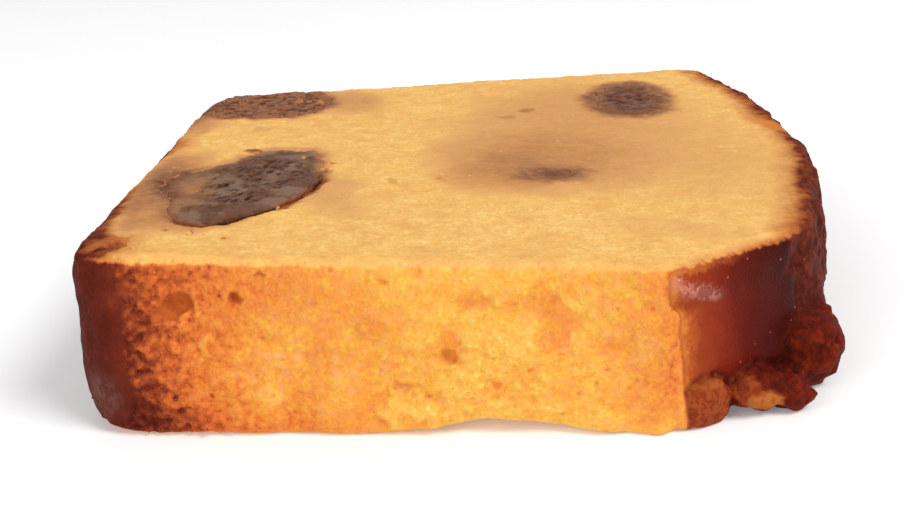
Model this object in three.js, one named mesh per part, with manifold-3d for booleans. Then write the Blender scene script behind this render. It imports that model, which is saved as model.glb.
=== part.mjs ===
// A slice of fruited pound cake, cut from a loaf and lying flat on one of its two cut faces.
// Units are millimetres and +Z is up. X runs from the loaf's base (left) to its domed top (right),
// Y runs across the loaf and Z through the slice. The origin is at the middle of the footprint.

import * as THREE from "three";
import { mergeVertices } from "three/addons/utils/BufferGeometryUtils.js";
import Module from "manifold-3d";

const wasm = await Module();
wasm.setup();

// ---- Driving dimensions of the slice ----

const BASE_X = -3.4; // the base's front corner
const BASE_Y = -1.2;
const BASE_WIDTH = 74; // across the loaf at its base
const BASE_LEAN = 8; // how far the base's back corner lies towards the dome
const WALL_FLARE = 10.3; // how far the pan wall spreads on its way up to the front shoulder
const FRONT_SHOULDER = 58; // where the front wall meets the risen crust
const BACK_SHOULDER = 84.5; // the same at the back, where the loaf rose more
const LOAF_HEIGHT = 91; // base to the crest of the dome
const THICK_AT_BASE = 19.7; // the knife left the slice thicker at the base
const THICK_AT_DOME = 17.0; // and thinner at the dome

const AROUND = 176; // points round the outline
const FRUIT_GAP = 0.3; // clearance between a fruit piece and its pocket
const TABLE_DEPTH = 20; // how much is cut away below the lower face

// ---- Colours ----

const CRUMB = { color: 0xeeba6c, roughness: 0.75, metalness: 0 };
const FRUIT = { color: 0x6b4331, roughness: 0.35, metalness: 0 };

// ---- Small helpers ----

const clamp01 = (t) => Math.min(1, Math.max(0, t));

function smoothstep(from, to, value) {
  const t = clamp01((value - from) / (to - from));
  return t * t * (3 - 2 * t);
}

// A bell from 1 at the middle to nearly 0 at 2 reaches away.
const bell = (distance, reach) => Math.exp(-((distance / reach) ** 2));

// A gentle lumpy value between about -1 and 1, the same on every run.
function lumps(x, y, z, wavelength, phase) {
  const k = (2 * Math.PI) / wavelength;
  const a = Math.sin(k * (x + 0.6 * y) + phase) * Math.cos(k * (0.8 * z - 0.5 * x) + 2 * phase);
  const b = Math.sin(k * 1.7 * (y - 0.4 * z) + 3 * phase) * Math.cos(k * 1.3 * (x + z) - phase);
  return 0.6 * a + 0.4 * b;
}

function solidOf(geometry) {
  const bare = geometry.clone();
  bare.deleteAttribute("normal");
  bare.deleteAttribute("uv");
  const merged = mergeVertices(bare, 1e-4);
  return new wasm.Manifold(
    new wasm.Mesh({
      numProp: 3,
      vertProperties: new Float32Array(merged.attributes.position.array),
      triVerts: new Uint32Array(merged.index.array),
    }),
  );
}

function geometryOf(solid) {
  const mesh = solid.getMesh();
  const geometry = new THREE.BufferGeometry();
  geometry.setAttribute("position", new THREE.BufferAttribute(mesh.vertProperties, 3));
  geometry.setIndex(new THREE.BufferAttribute(mesh.triVerts, 1));
  return geometry;
}

// ---- Outline of the loaf's cross-section ----

// Each corner is a point and how far from it the rounding starts.
const CORNERS = [
  { x: BASE_X, y: BASE_Y, round: 6.5 },
  { x: FRONT_SHOULDER, y: -WALL_FLARE, round: 2 },
  { x: 75.8, y: 0.4, round: 6 },
  { x: 85.6, y: 31, round: 12 },
  { x: LOAF_HEIGHT + BASE_X, y: 63, round: 12 },
  { x: BACK_SHOULDER, y: 86, round: 5.5 },
  { x: BASE_X + BASE_LEAN, y: BASE_Y + BASE_WIDTH, round: 5 },
];

function outlineShape() {
  const shape = new THREE.Shape();
  CORNERS.forEach((corner, i) => {
    const here = new THREE.Vector2(corner.x, corner.y);
    const before = CORNERS[(i + CORNERS.length - 1) % CORNERS.length];
    const after = CORNERS[(i + 1) % CORNERS.length];
    const towards = (other) =>
      new THREE.Vector2(other.x, other.y).sub(here).normalize().multiplyScalar(corner.round).add(here);
    const start = towards(before);
    const end = towards(after);
    if (i === 0) shape.moveTo(start.x, start.y);
    else shape.lineTo(start.x, start.y);
    shape.quadraticCurveTo(here.x, here.y, end.x, end.y);
  });
  shape.closePath();
  return shape;
}

// Points on the outline with their outward normals and their distance along it.
function outlineStations() {
  const points = outlineShape().getSpacedPoints(AROUND).slice(0, AROUND);
  let along = 0;
  return points.map((p, i) => {
    const before = points[(i + AROUND - 1) % AROUND];
    const after = points[(i + 1) % AROUND];
    if (i > 0) along += p.distanceTo(before);
    const tangent = after.clone().sub(before).normalize();
    return { x: p.x, y: p.y, nx: tangent.y, ny: -tangent.x, along };
  });
}

// ---- Zones of the wall ----

// 1 on the risen dome above the shoulders, 0 on the pan walls and the base.
function domeShare(x, y) {
  const shoulder = FRONT_SHOULDER + ((BACK_SHOULDER - FRONT_SHOULDER) * (y + WALL_FLARE)) / 97;
  return smoothstep(shoulder - 1, shoulder + 4, x);
}

// 1 on the base, 0 further up the pan walls.
function baseShare(x, y) {
  const base = BASE_X + (BASE_LEAN * (y - BASE_Y)) / BASE_WIDTH;
  return 1 - smoothstep(0.5, 4.5, x - base);
}

// ---- Relief ----

// Rounded scallops of the risen crust, which run through the slice.
function scallops(along, z) {
  const wander = 0.7 * Math.sin(z / 5 + along / 17);
  const broad = Math.sin((2 * Math.PI * along) / 10.7 + wander);
  const narrow = Math.sin((2 * Math.PI * along) / 5.9 - 2 * wander);
  return 0.5 * broad + 0.3 * narrow;
}

// The thick lip at the foot of the dome's front half, where the batter ran over the pan's rim.
const LIP = { x: 77.5, y: 4, reachAcross: 8, height: 3.6, reachUp: 3.8, out: 1.2 };

function lip(x, y, z) {
  const across = Math.hypot(x - LIP.x, y - LIP.y);
  return LIP.out * bell(across, LIP.reachAcross) * bell(z - LIP.height, LIP.reachUp);
}

// How far the wall stands out from the outline at a share of the slice's height, 0 at its foot.
function wallOffset(station, share, z) {
  const dome = domeShare(station.x, station.y);
  const base = baseShare(station.x, station.y);
  const pan = 1 - Math.max(dome, base);
  const foot = (1 - share) * (1.1 * pan + 0.4 * dome);
  const belly = Math.sin(Math.PI * share) * (0.2 * pan + 0.5 * dome + 0.5 * base);
  const crumb = 0.35 * pan * lumps(station.x, station.y, z, 13, 1.1);
  const risen = dome * smoothstep(2, 14, station.y);
  const crust = risen * scallops(station.along, z) + 0.25 * base * lumps(station.x, station.y, z, 15, 2.3);
  return foot + belly + crumb + crust + lip(station.x, station.y, z);
}

// The upper cut face is a plane that drops towards the dome, with the knife's slow waves.
function topHeight(x, y) {
  const drop = ((THICK_AT_BASE - THICK_AT_DOME) * x) / LOAF_HEIGHT;
  return THICK_AT_BASE - drop + 0.12 * lumps(x, y, 0, 34, 0.4);
}

// The lower cut face is flat, but for an arch under the front wall where the slice lifts off,
// and the worn front corner of the base.
const ARCH = { x: 40.2, y: -9, halfWidth: 7, reachIn: 11, rise: 1.5 };
const WORN_CORNER = { x: -3, y: -1, reach: 5.5, farthest: 12, rise: 0.8 };

function footHeight(x, y) {
  const arch = bell(x - ARCH.x, ARCH.halfWidth) * (1 - smoothstep(0, ARCH.reachIn, y - ARCH.y));
  const away = Math.hypot(x - WORN_CORNER.x, y - WORN_CORNER.y);
  const corner = bell(away, WORN_CORNER.reach) * (1 - smoothstep(0, WORN_CORNER.farthest, away));
  return ARCH.rise * arch + WORN_CORNER.rise * corner;
}

// ---- The whole slice, before anything is cut from it ----

// Rows from the upper face to the lower one: inset from the wall, and height as a share of the
// slice, with a drop below or rise above that share.
const EDGE_ROWS = [
  { inset: 1.0, share: 1, drop: 0 },
  { inset: 0.5, share: 1, drop: 0.2 },
  { inset: 0.15, share: 1, drop: 0.8 },
  { inset: 0, share: 0.86, drop: 0 },
  { inset: 0, share: 0.7, drop: 0 },
  { inset: 0, share: 0.54, drop: 0 },
  { inset: 0, share: 0.4, drop: 0 },
  { inset: 0, share: 0.28, drop: 0 },
  { inset: 0, share: 0.17, drop: 0 },
  { inset: 0.1, share: 0, drop: -1.3 },
  { inset: 0.4, share: 0, drop: -0.4 },
  { inset: 1.1, share: 0, drop: 0 },
];
const FACE_RINGS = [0.93, 0.78, 0.5]; // shares of the way from the middle to the wall
const BASE_EXTRA = 1.8; // how much further the base's upper edge rounds off than the others
const MIDDLE = { x: 43, y: 37 };

function wholeSlice() {
  const stations = outlineStations();
  const positions = [];
  const addRow = (pointAt) => {
    stations.forEach((station) => positions.push(...pointAt(station)));
  };

  const edgePoint = (row) => (station) => {
    const top = topHeight(station.x, station.y);
    const foot = footHeight(station.x, station.y);
    const z = foot + (top - foot) * row.share - row.drop;
    const share = clamp01(z / top);
    const base = baseShare(station.x, station.y);
    const inset = row.inset * (1 + BASE_EXTRA * base * share);
    const out = wallOffset(station, share, z) - inset;
    return [station.x + station.nx * out, station.y + station.ny * out, z];
  };
  const facePoint = (row, share, height) => (station) => {
    const [edgeX, edgeY] = edgePoint(row)(station);
    const x = MIDDLE.x + (edgeX - MIDDLE.x) * share;
    const y = MIDDLE.y + (edgeY - MIDDLE.y) * share;
    return [x, y, height(x, y)];
  };

  [...FACE_RINGS].reverse().forEach((share) => addRow(facePoint(EDGE_ROWS[0], share, topHeight)));
  EDGE_ROWS.forEach((row) => addRow(edgePoint(row)));
  FACE_RINGS.forEach((share) => addRow(facePoint(EDGE_ROWS.at(-1), share, footHeight)));

  const rows = positions.length / 3 / AROUND;
  const topPole = positions.length / 3;
  positions.push(MIDDLE.x, MIDDLE.y, topHeight(MIDDLE.x, MIDDLE.y));
  const footPole = topPole + 1;
  positions.push(MIDDLE.x, MIDDLE.y, footHeight(MIDDLE.x, MIDDLE.y));

  const faces = [];
  for (let i = 0; i < AROUND; i++) {
    const next = (i + 1) % AROUND;
    faces.push(topPole, i, next);
    for (let row = 0; row < rows - 1; row++) {
      const a = row * AROUND + i;
      const b = row * AROUND + next;
      faces.push(a, a + AROUND, b, b, a + AROUND, b + AROUND);
    }
    faces.push(footPole, (rows - 1) * AROUND + next, (rows - 1) * AROUND + i);
  }

  const geometry = new THREE.BufferGeometry();
  geometry.setAttribute("position", new THREE.Float32BufferAttribute(positions, 3));
  geometry.setIndex(faces);
  return solidOf(geometry);
}

// ---- Blobs: fruit pieces, torn lumps and holes ----

// A lumpy ellipsoid. turn is in degrees about Z, and grow adds to every radius.
function blob({ at, radii, turn = 0, rough = 0.06, detail = 4, phase = 0 }, grow = 0) {
  const geometry = new THREE.IcosahedronGeometry(1, detail);
  const points = geometry.attributes.position;
  const p = new THREE.Vector3();
  const size = new THREE.Vector3(...radii).addScalar(grow);
  for (let i = 0; i < points.count; i++) {
    p.fromBufferAttribute(points, i).normalize();
    p.multiplyScalar(1 + rough * lumps(p.x, p.y, p.z, 2.4, phase));
    p.multiply(size);
    points.setXYZ(i, p.x, p.y, p.z);
  }
  geometry.rotateZ(THREE.MathUtils.degToRad(turn));
  geometry.translate(...at);
  return solidOf(geometry);
}

// Fruit pieces that the knife cut through. sunk is how far the widest part lies below the face.
const FRUITS = [
  { name: "fruit_front_left", x: 13.6, y: 24.2, sunk: 0.6, radii: [9.4, 15.0, 10.5], turn: -11, phase: 0.7 },
  { name: "fruit_back_left", x: 16.2, y: 66.8, sunk: 0.5, radii: [10.2, 8.6, 8.5], turn: 8, phase: 1.9 },
  { name: "fruit_middle", x: 50.4, y: 22.8, sunk: 1.8, radii: [3.9, 4.4, 3.4], turn: 0, phase: 3.1 },
  { name: "fruit_back_right", x: 68.6, y: 64.2, sunk: 0.6, radii: [6.7, 12.0, 8.2], turn: -8, phase: 4.2 },
];

function fruitBlob(fruit, grow) {
  const z = topHeight(fruit.x, fruit.y) - fruit.sunk;
  return blob({ at: [fruit.x, fruit.y, z], radii: fruit.radii, turn: fruit.turn, phase: fruit.phase }, grow);
}

// Torn lumps and flakes that stand on the foot of the dome's front corner.
const TORN = [
  { at: [67.3, -6.4, 2.4], radii: [3.7, 3.2, 2.3], turn: 10, rough: 0.12, detail: 3, phase: 0.3 },
  { at: [70.7, -6.4, 1.9], radii: [2.5, 3.0, 2.1], turn: -20, rough: 0.14, detail: 2, phase: 2.6 },
  { at: [61.6, -8.3, 2.5], radii: [3.7, 1.7, 2.8], turn: 31, rough: 0.12, detail: 3, phase: 1.3 },
  { at: [56.4, -9.8, 0.8], radii: [1.8, 1.2, 0.9], turn: 0, rough: 0.1, detail: 1, phase: 3.3 },
  { at: [74.3, -0.2, 4.2], radii: [4.3, 5.2, 4.9], turn: -24, rough: 0.12, detail: 3, phase: 4.4 },
];

// Open holes in the crumb of the front wall.
const HOLES = [
  { at: [8.4, -2.9, 14.6], radii: [1.35, 1.5, 1.0], turn: 0, rough: 0.2, detail: 2, phase: 0.9 },
  { at: [13.9, -3.9, 14.9], radii: [0.5, 1.1, 0.8], turn: 0, rough: 0.1, detail: 1, phase: 1.6 },
  { at: [35.2, -8.0, 8.7], radii: [0.9, 1.1, 0.8], turn: 0, rough: 0.2, detail: 1, phase: 2.4 },
  { at: [30.6, -7.4, 5.0], radii: [1.2, 1.0, 0.6], turn: 0, rough: 0.2, detail: 1, phase: 3.7 },
];

// ---- Assembly ----

// Everything below the lower face, so that the lumps lie flat on it too.
function belowTable() {
  const side = 3 * LOAF_HEIGHT;
  return solidOf(new THREE.BoxGeometry(side, side, TABLE_DEPTH).translate(0, 0, -TABLE_DEPTH / 2));
}

function solids() {
  const whole = wholeSlice();
  let cake = TORN.reduce((body, piece) => body.add(blob(piece)), whole);
  cake = cake.subtract(belowTable());
  const fruits = FRUITS.map((fruit) => ({ name: fruit.name, solid: fruitBlob(fruit, 0).intersect(cake) }));
  for (const fruit of FRUITS) cake = cake.subtract(fruitBlob(fruit, FRUIT_GAP));
  for (const hole of HOLES) cake = cake.subtract(blob(hole));
  return [{ name: "cake", solid: cake }, ...fruits];
}

const slice = new THREE.Group();
for (const { name, solid } of solids()) {
  const material = new THREE.MeshStandardMaterial(name === "cake" ? CRUMB : FRUIT);
  const mesh = new THREE.Mesh(geometryOf(solid), material);
  mesh.name = name;
  slice.add(mesh);
}

const extent = new THREE.Box3().setFromObject(slice);
const footprint = extent.getCenter(new THREE.Vector3()).setZ(extent.min.z);
for (const mesh of slice.children) mesh.geometry.translate(-footprint.x, -footprint.y, -footprint.z);

export default slice;
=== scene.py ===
from itertools import product

import bmesh
import bpy
import numpy as np
from bpy.props import FloatProperty, FloatVectorProperty, IntProperty, PointerProperty
from mathutils import Matrix, Vector


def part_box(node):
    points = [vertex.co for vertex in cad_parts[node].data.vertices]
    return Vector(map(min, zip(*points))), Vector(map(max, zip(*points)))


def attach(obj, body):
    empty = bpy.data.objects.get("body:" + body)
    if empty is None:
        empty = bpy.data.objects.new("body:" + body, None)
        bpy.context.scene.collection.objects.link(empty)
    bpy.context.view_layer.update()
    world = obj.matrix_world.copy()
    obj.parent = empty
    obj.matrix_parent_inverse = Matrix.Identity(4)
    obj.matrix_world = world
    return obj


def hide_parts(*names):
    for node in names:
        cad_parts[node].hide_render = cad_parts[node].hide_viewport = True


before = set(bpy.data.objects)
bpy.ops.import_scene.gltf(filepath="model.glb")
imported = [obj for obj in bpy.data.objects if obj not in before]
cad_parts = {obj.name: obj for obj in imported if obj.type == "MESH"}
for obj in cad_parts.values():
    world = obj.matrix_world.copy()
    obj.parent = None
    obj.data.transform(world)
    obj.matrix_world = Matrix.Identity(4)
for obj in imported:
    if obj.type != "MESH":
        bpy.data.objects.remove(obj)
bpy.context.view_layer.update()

bl_info = {
    "name": "Fruited pound cake slice",
    "version": (1, 0, 0),
    "blender": (4, 5, 0),
    "location": "3D View > Sidebar > Cake",
    "description": "Bakes a slice of pound cake with dried fruit, its crust and crumbs, in a small studio",
    "category": "Object",
}

# The meshes are shaped in millimetres and scaled to metres when they are put in the scene.
MM = 0.001
LOW, HIGH = (np.array(corner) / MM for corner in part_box("cake"))
SIZE = HIGH - LOW

# Corners of the slice's outline as shares of its box, going round from the base's front corner.
CORNER_SHARES = {
    "base_front": (0.000, 0.102),
    "front_shoulder": (0.668, 0.008),
    "lip_end": (0.862, 0.118),
    "dome_front": (0.969, 0.433),
    "dome_back": (0.991, 0.763),
    "back_shoulder": (0.957, 0.999),
    "base_back": (0.086, 0.864),
}
CORNERS = {name: LOW[:2] + SIZE[:2] * share for name, share in CORNER_SHARES.items()}
FRONT_WALL = ("base_front", "front_shoulder")
LIP_WALL = ("front_shoulder", "lip_end")
DOME_WALLS = (
    ("lip_end", "dome_front"),
    ("dome_front", "dome_back"),
    ("dome_back", "back_shoulder"),
)
BACK_WALL = ("back_shoulder", "base_back")
BASE_WALL = ("base_back", "base_front")

FRUITS = ("fruit_front_left", "fruit_back_left", "fruit_middle", "fruit_back_right")
TOP_LEAN = 2.7  # how much thinner the slice is at the dome
DETAIL_HELD = 0.02  # how hard the finished mesh holds on to its triangles where it is ragged


# ---- Colours ----


def colour(hex_code):
    """The linear colour of a screen colour such as "f0b060"."""
    shares = [int(hex_code[i : i + 2], 16) / 255 for i in (0, 2, 4)]
    return [s / 12.92 if s <= 0.04045 else ((s + 0.055) / 1.055) ** 2.4 for s in shares]


def as_rgb(value):
    """A screen colour's code as its linear colour; anything else stays as it is."""
    return colour(value) if isinstance(value, str) else value


# ---- Numbers spread over space ----


def step(low, high, value):
    """0 below low, 1 above high and smooth between; low may be the larger of the two."""
    t = np.clip((value - low) / (high - low), 0, 1)
    return t * t * (3 - 2 * t)


def hashed(cells, seed):
    """Three repeatable numbers from 0 to 1 for every whole-numbered cell."""
    x, y, z = cells.astype(np.int64).astype(np.uint32).T
    mixed = x * np.uint32(73856093) ^ y * np.uint32(19349663) ^ z * np.uint32(83492791)
    mixed = mixed ^ np.uint32(seed * 2654435 & 0xFFFFFFFF)
    for shift, factor in ((15, 0x2C1B3C6D), (12, 0x297A2D39)):
        mixed = (mixed ^ (mixed >> np.uint32(shift))) * np.uint32(factor)
    mixed ^= mixed >> np.uint32(15)
    return np.stack([(mixed >> np.uint32(bits)) & np.uint32(1023) for bits in (0, 10, 20)], axis=1) / 1023


def noise(points, size, seed):
    """Smooth noise from about -1 to 1 whose lumps are about size across."""
    scaled = points / size
    low = np.floor(scaled)
    inside = scaled - low
    fade = inside**3 * (inside * (inside * 6 - 15) + 10)
    shares = np.stack([1 - fade, fade])
    total = np.zeros(len(points))
    for i, j, k in product((0, 1), repeat=3):
        slope = hashed(low + (i, j, k), seed) - 0.5
        weight = shares[i, :, 0] * shares[j, :, 1] * shares[k, :, 2]
        total += weight * np.einsum("ij,ij->i", slope, inside - (i, j, k))
    return 2.6 * total


def noise_vector(points, size, seed):
    """Three noises that don't follow each other, for pushing points about."""
    return np.stack([noise(points, size, seed + 1000 * axis) for axis in (1, 2, 3)], axis=1)


def nearest_grain(points, size, seed):
    """Distance to the nearest of randomly placed grains, as a share of size, and its own number."""
    scaled = points / size
    low = np.floor(scaled)
    best = np.full(len(points), 9.0)
    number = np.zeros(len(points))
    for corner in product((-1, 0, 1), repeat=3):
        cell = low + corner
        spread = hashed(cell, seed)
        away = scaled - cell - spread
        distance = np.einsum("ij,ij->i", away, away)
        closer = distance < best
        best[closer] = distance[closer]
        number[closer] = (spread[closer] * (7, 11, 13)).sum(axis=1) % 1
    return np.sqrt(best), number


def pits(points, size, seed, widest=0.3):
    """1 at the middle of scattered round pits, 0 between them. Their widths differ."""
    distance, number = nearest_grain(points, size, seed)
    radius = widest * (0.35 + 0.65 * number)
    return step(radius, 0.4 * radius, distance)


def along_and_across(away, turn):
    """Distances along and across a direction that is turned by some degrees about Z."""
    angle = np.radians(turn)
    along = away[:, 0] * np.cos(angle) + away[:, 1] * np.sin(angle)
    across = away[:, 1] * np.cos(angle) - away[:, 0] * np.sin(angle)
    return along, across


def spot(points, place, soft, turn=0.0):
    """1 inside an ellipsoid, fading to 0 over the soft share of its radius.

    place is its centre and its radii, and turn is in degrees about Z."""
    centre, radii = place
    away = points - centre
    along, across = along_and_across(away, turn)
    reach = np.sqrt((along / radii[0]) ** 2 + (across / radii[1]) ** 2 + (away[:, 2] / radii[2]) ** 2)
    return step(1 + soft / 2, 1 - soft / 2, reach)


def largest_spot(points, places, soft):
    """The largest of several spots at each point."""
    return np.max([spot(points, place, soft) for place in places], axis=0)


def outline_gap(points, corners):
    """How far outside a closed outline each point is, seen from above; below 0 inside it."""
    starts = np.array(corners)
    nearest = np.full(len(points), np.inf)
    inside = np.zeros(len(points), bool)
    for start, end in zip(starts, np.roll(starts, -1, axis=0)):
        side = end - start
        away = points[:, :2] - start
        share = np.clip(away @ side / (side @ side), 0, 1)
        nearest = np.minimum(nearest, np.linalg.norm(away - share[:, None] * side, axis=1))
        crosses = (away[:, 1] < 0) != (points[:, 1] < end[1])
        turn = (away[:, 0] * side[1] - away[:, 1] * side[0]) * np.sign(side[1])
        inside ^= crosses & (turn < 0)
    return np.where(inside, -nearest, nearest)


# ---- Meshes ----


def mesh_of(points, triangles, name="shape"):
    mesh = bpy.data.meshes.new(name)
    mesh.vertices.add(len(points))
    mesh.vertices.foreach_set("co", np.asarray(points, np.float32).ravel())
    mesh.loops.add(3 * len(triangles))
    mesh.loops.foreach_set("vertex_index", np.asarray(triangles, np.int32).ravel())
    mesh.polygons.add(len(triangles))
    mesh.polygons.foreach_set("loop_start", 3 * np.arange(len(triangles), dtype=np.int32))
    mesh.update(calc_edges=True)
    return mesh


def joined(meshes):
    """Closed meshes side by side in one mesh; a voxel remesh then makes them one body."""
    counts = [len(mesh.vertices) for mesh in meshes]
    starts = np.cumsum([0, *counts[:-1]])
    triangles = [triangles_of(mesh) + start for mesh, start in zip(meshes, starts)]
    return mesh_of(np.vstack([points_of(mesh) for mesh in meshes]), np.vstack(triangles))


def rows_of(items, field, width, kind):
    """A field of every item of a mesh, as an array with one row for each."""
    values = np.empty(width * len(items), kind)
    items.foreach_get(field, values)
    return values.reshape(-1, width)


def points_of(mesh):
    return rows_of(mesh.vertices, "co", 3, np.float32).astype(float)


def normals_of(mesh):
    return rows_of(mesh.vertex_normals, "vector", 3, np.float32).astype(float)


def triangles_of(mesh):
    mesh.calc_loop_triangles()
    return rows_of(mesh.loop_triangles, "vertices", 3, np.int32)


def edges_of(mesh):
    return rows_of(mesh.edges, "vertices", 2, np.int32)


def move_points(mesh, points):
    mesh.vertices.foreach_set("co", np.asarray(points, np.float32).ravel())
    mesh.update()


def modified(mesh, kind, **settings):
    """The mesh as one modifier leaves it."""
    holder = bpy.data.objects.new("holder", mesh)
    bpy.context.scene.collection.objects.link(holder)
    weights = settings.pop("weights", None)
    if weights is not None:
        group = holder.vertex_groups.new(name="weights")
        levels = np.round(weights, 1)
        for level in np.unique(levels):
            group.add(np.flatnonzero(levels == level).tolist(), float(level), "REPLACE")
    modifier = holder.modifiers.new(kind, kind)
    for name, value in settings.items():
        setattr(modifier, name, value)
    depsgraph = bpy.context.evaluated_depsgraph_get()
    result = bpy.data.meshes.new_from_object(holder.evaluated_get(depsgraph))
    bpy.data.objects.remove(holder)
    return result


def node_mesh(name):
    """A CAD node's own shape in millimetres, as a closed mesh that can be changed."""
    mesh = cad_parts[name].data.copy()
    mesh.transform(Matrix.Scale(1 / MM, 4))
    mesh.materials.clear()
    return modified(mesh, "WELD", merge_threshold=0.001)


def remeshed(mesh, voxel):
    return modified(mesh, "REMESH", mode="VOXEL", voxel_size=voxel)


def evened(values, edges, rounds):
    """Values averaged with their neighbours' along the edges, a number of times."""
    count = len(values)
    starts = np.concatenate([edges[:, 0], edges[:, 1]])
    ends = np.concatenate([edges[:, 1], edges[:, 0]])
    shared = np.maximum(np.bincount(starts, minlength=count), 1)
    for _ in range(rounds):
        columns = [np.bincount(starts, column[ends], count) / shared for column in values.T]
        values = 0.3 * values + 0.7 * np.stack(columns, axis=1)
    return values


def ridges(mesh, rounds):
    """How far each point stands out of the evened surface, in millimetres."""
    points = points_of(mesh)
    smooth = evened(points, edges_of(mesh), rounds)
    return np.sum((points - smooth) * normals_of(mesh), axis=1)


def ridge_marks(mesh):
    """From -1 in hollows to 1 on ridges, for fine and middling relief together."""
    fine = ridges(mesh, 4) / 0.07
    middling = ridges(mesh, 14) / 0.20
    return np.clip(0.6 * fine + 0.5 * middling, -1, 1)


def mark(mesh, marks, copies=1):
    """Writes named numbers on a mesh's points, each number on as many points in a row as copies."""
    for name, values in marks.items():
        attribute = mesh.attributes.new(name, "FLOAT", "POINT")
        attribute.data.foreach_set("value", np.repeat(values, copies).astype(np.float32))


def piece_from(mesh, name, material, replaced=()):
    """Puts a finished mesh in the scene, riding on the slice."""
    mesh.transform(Matrix.Scale(MM, 4))
    mesh.name = name
    mesh.polygons.foreach_set("use_smooth", np.ones(len(mesh.polygons), bool))
    mesh.materials.clear()
    mesh.materials.append(material)
    piece = bpy.data.objects.new(name, mesh)
    bpy.context.scene.collection.objects.link(piece)
    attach(piece, "root")
    if replaced:
        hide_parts(*replaced)
    return piece


# ---- Which part of the slice a point is on ----


def wall_line(wall):
    """Where a wall starts, seen from above, and the direction from it into the slice."""
    start, end = (CORNERS[corner] for corner in wall)
    along = (end - start) / np.linalg.norm(end - start)
    return start, np.array([-along[1], along[0]])


def depth_behind(points, wall):
    """How far inside the line of a wall each point is, in millimetres."""
    start, inward = wall_line(wall)
    return (points[:, :2] - start) @ inward


def top_height(x):
    """Height of the cut face, which leans down towards the dome."""
    return HIGH[2] - TOP_LEAN * (x - LOW[0]) / SIZE[0]


class Places:
    """Shares from 0 to 1 that say which surface of the slice each point is on."""

    def __init__(self, points, normals):
        self.points = points
        self.normals = normals
        self.x, self.z = points[:, 0], points[:, 2]
        self.below_cut = top_height(self.x) - self.z
        self.front_depth = depth_behind(points, FRONT_WALL)
        self.lip_depth = depth_behind(points, LIP_WALL)
        self.base_depth = depth_behind(points, BASE_WALL)
        self.arch_depth = np.min([depth_behind(points, wall) for wall in DOME_WALLS], axis=0)
        self._share_faces()
        self._set_lip_apart()

    def _share_faces(self):
        """top and foot are the two cut faces, inside is the pockets, and the rest are walls."""
        upward = self.normals[:, 2]
        self.top = step(*FACES_UP, upward) * step(13, 15, self.z)
        self.foot = step(*FACES_UP, -upward) * step(3.5, 2, self.z)
        back_depth = depth_behind(self.points, BACK_WALL)
        dome_depth = np.minimum(self.arch_depth, self.lip_depth)
        depths = np.stack([self.front_depth, back_depth, self.base_depth, dome_depth])
        nearness = np.exp(-np.clip(depths, -2, 20) / WALL_BLEND)
        shares = nearness / nearness.sum(axis=0)
        outer = step(2.6, 1.6, depths.min(axis=0))
        self.wall = (1 - self.top) * (1 - self.foot) * outer
        self.front, self.back, self.base, self.dome = shares * self.wall
        self.inside = (1 - self.top) * (1 - self.foot) * (1 - outer)

    def _set_lip_apart(self):
        """The lip starts at a wavering line past the front shoulder and takes over from the walls."""
        edge = CORNERS["front_shoulder"][0] + 0.35 + 0.07 * np.maximum(0, 10 - self.z)
        edge -= 1.2 * step(12.5, 14.0, self.z)
        self.past_lip_edge = self.x - edge + 0.35 * noise(self.points, 2.4, 14)
        far_end = self.past_lip_edge + 1.2 * noise(self.points, 2.0, 15)
        on_lip = step(-0.25, 0.25, self.past_lip_edge) * step(2.2, 1.4, self.lip_depth)
        on_lip *= step(LIP_LENGTH + 0.6, LIP_LENGTH - 0.3, far_end)
        self.lip = self.wall * on_lip
        beside = step(0.6, -0.2, self.past_lip_edge)
        self.front = (self.front + self.dome * beside) * (1 - on_lip)
        self.dome *= (1 - beside) * (1 - on_lip)


def places_on(mesh):
    return Places(points_of(mesh), normals_of(mesh))


# ---- The slice's own marks, in millimetres in the frame ----

FACES_UP = (0.45, 0.85)  # upward share of the normal, from a wall's to a cut face's
WALL_BLEND = 0.8  # how softly one wall's surface passes into the next round a corner
SKIN_WIDTH = 6.4  # how far the base's skin reaches round onto the pan walls
LIP_LENGTH = 14.0  # how far the smooth lip reaches along X from the front shoulder

# Shallow open holes in the front wall: centre and radii.
HOLES = (
    ((-35.1, -40.2, 13.9), (1.3, 1.6, 0.95)),
    ((-33.6, -40.4, 14.8), (1.2, 1.5, 1.0)),
    ((-28.2, -41.5, 15.3), (0.45, 1.2, 0.95)),
    ((-7.4, -45.5, 8.8), (0.9, 1.3, 0.7)),
    ((-6.2, -45.6, 10.1), (0.5, 0.9, 0.4)),
    ((-12.0, -44.9, 5.6), (1.9, 0.9, 0.4)),
    ((-2.4, -46.3, 5.6), (0.45, 0.9, 0.5)),
    ((1.0, -46.8, 7.2), (0.3, 0.8, 0.35)),
    ((-30.2, -41.0, 11.2), (0.4, 0.9, 0.6)),
    ((-25.6, -41.8, 17.6), (0.6, 0.7, 0.3)),
    ((-14.0, -44.2, 17.3), (0.35, 0.7, 0.25)),
)
HOLE_DEPTH = 0.25  # how far the relief sinks each hole's floor
DEEPEST_HOLE = 0.45  # how deep the holes that are already in the wall may stay

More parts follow.
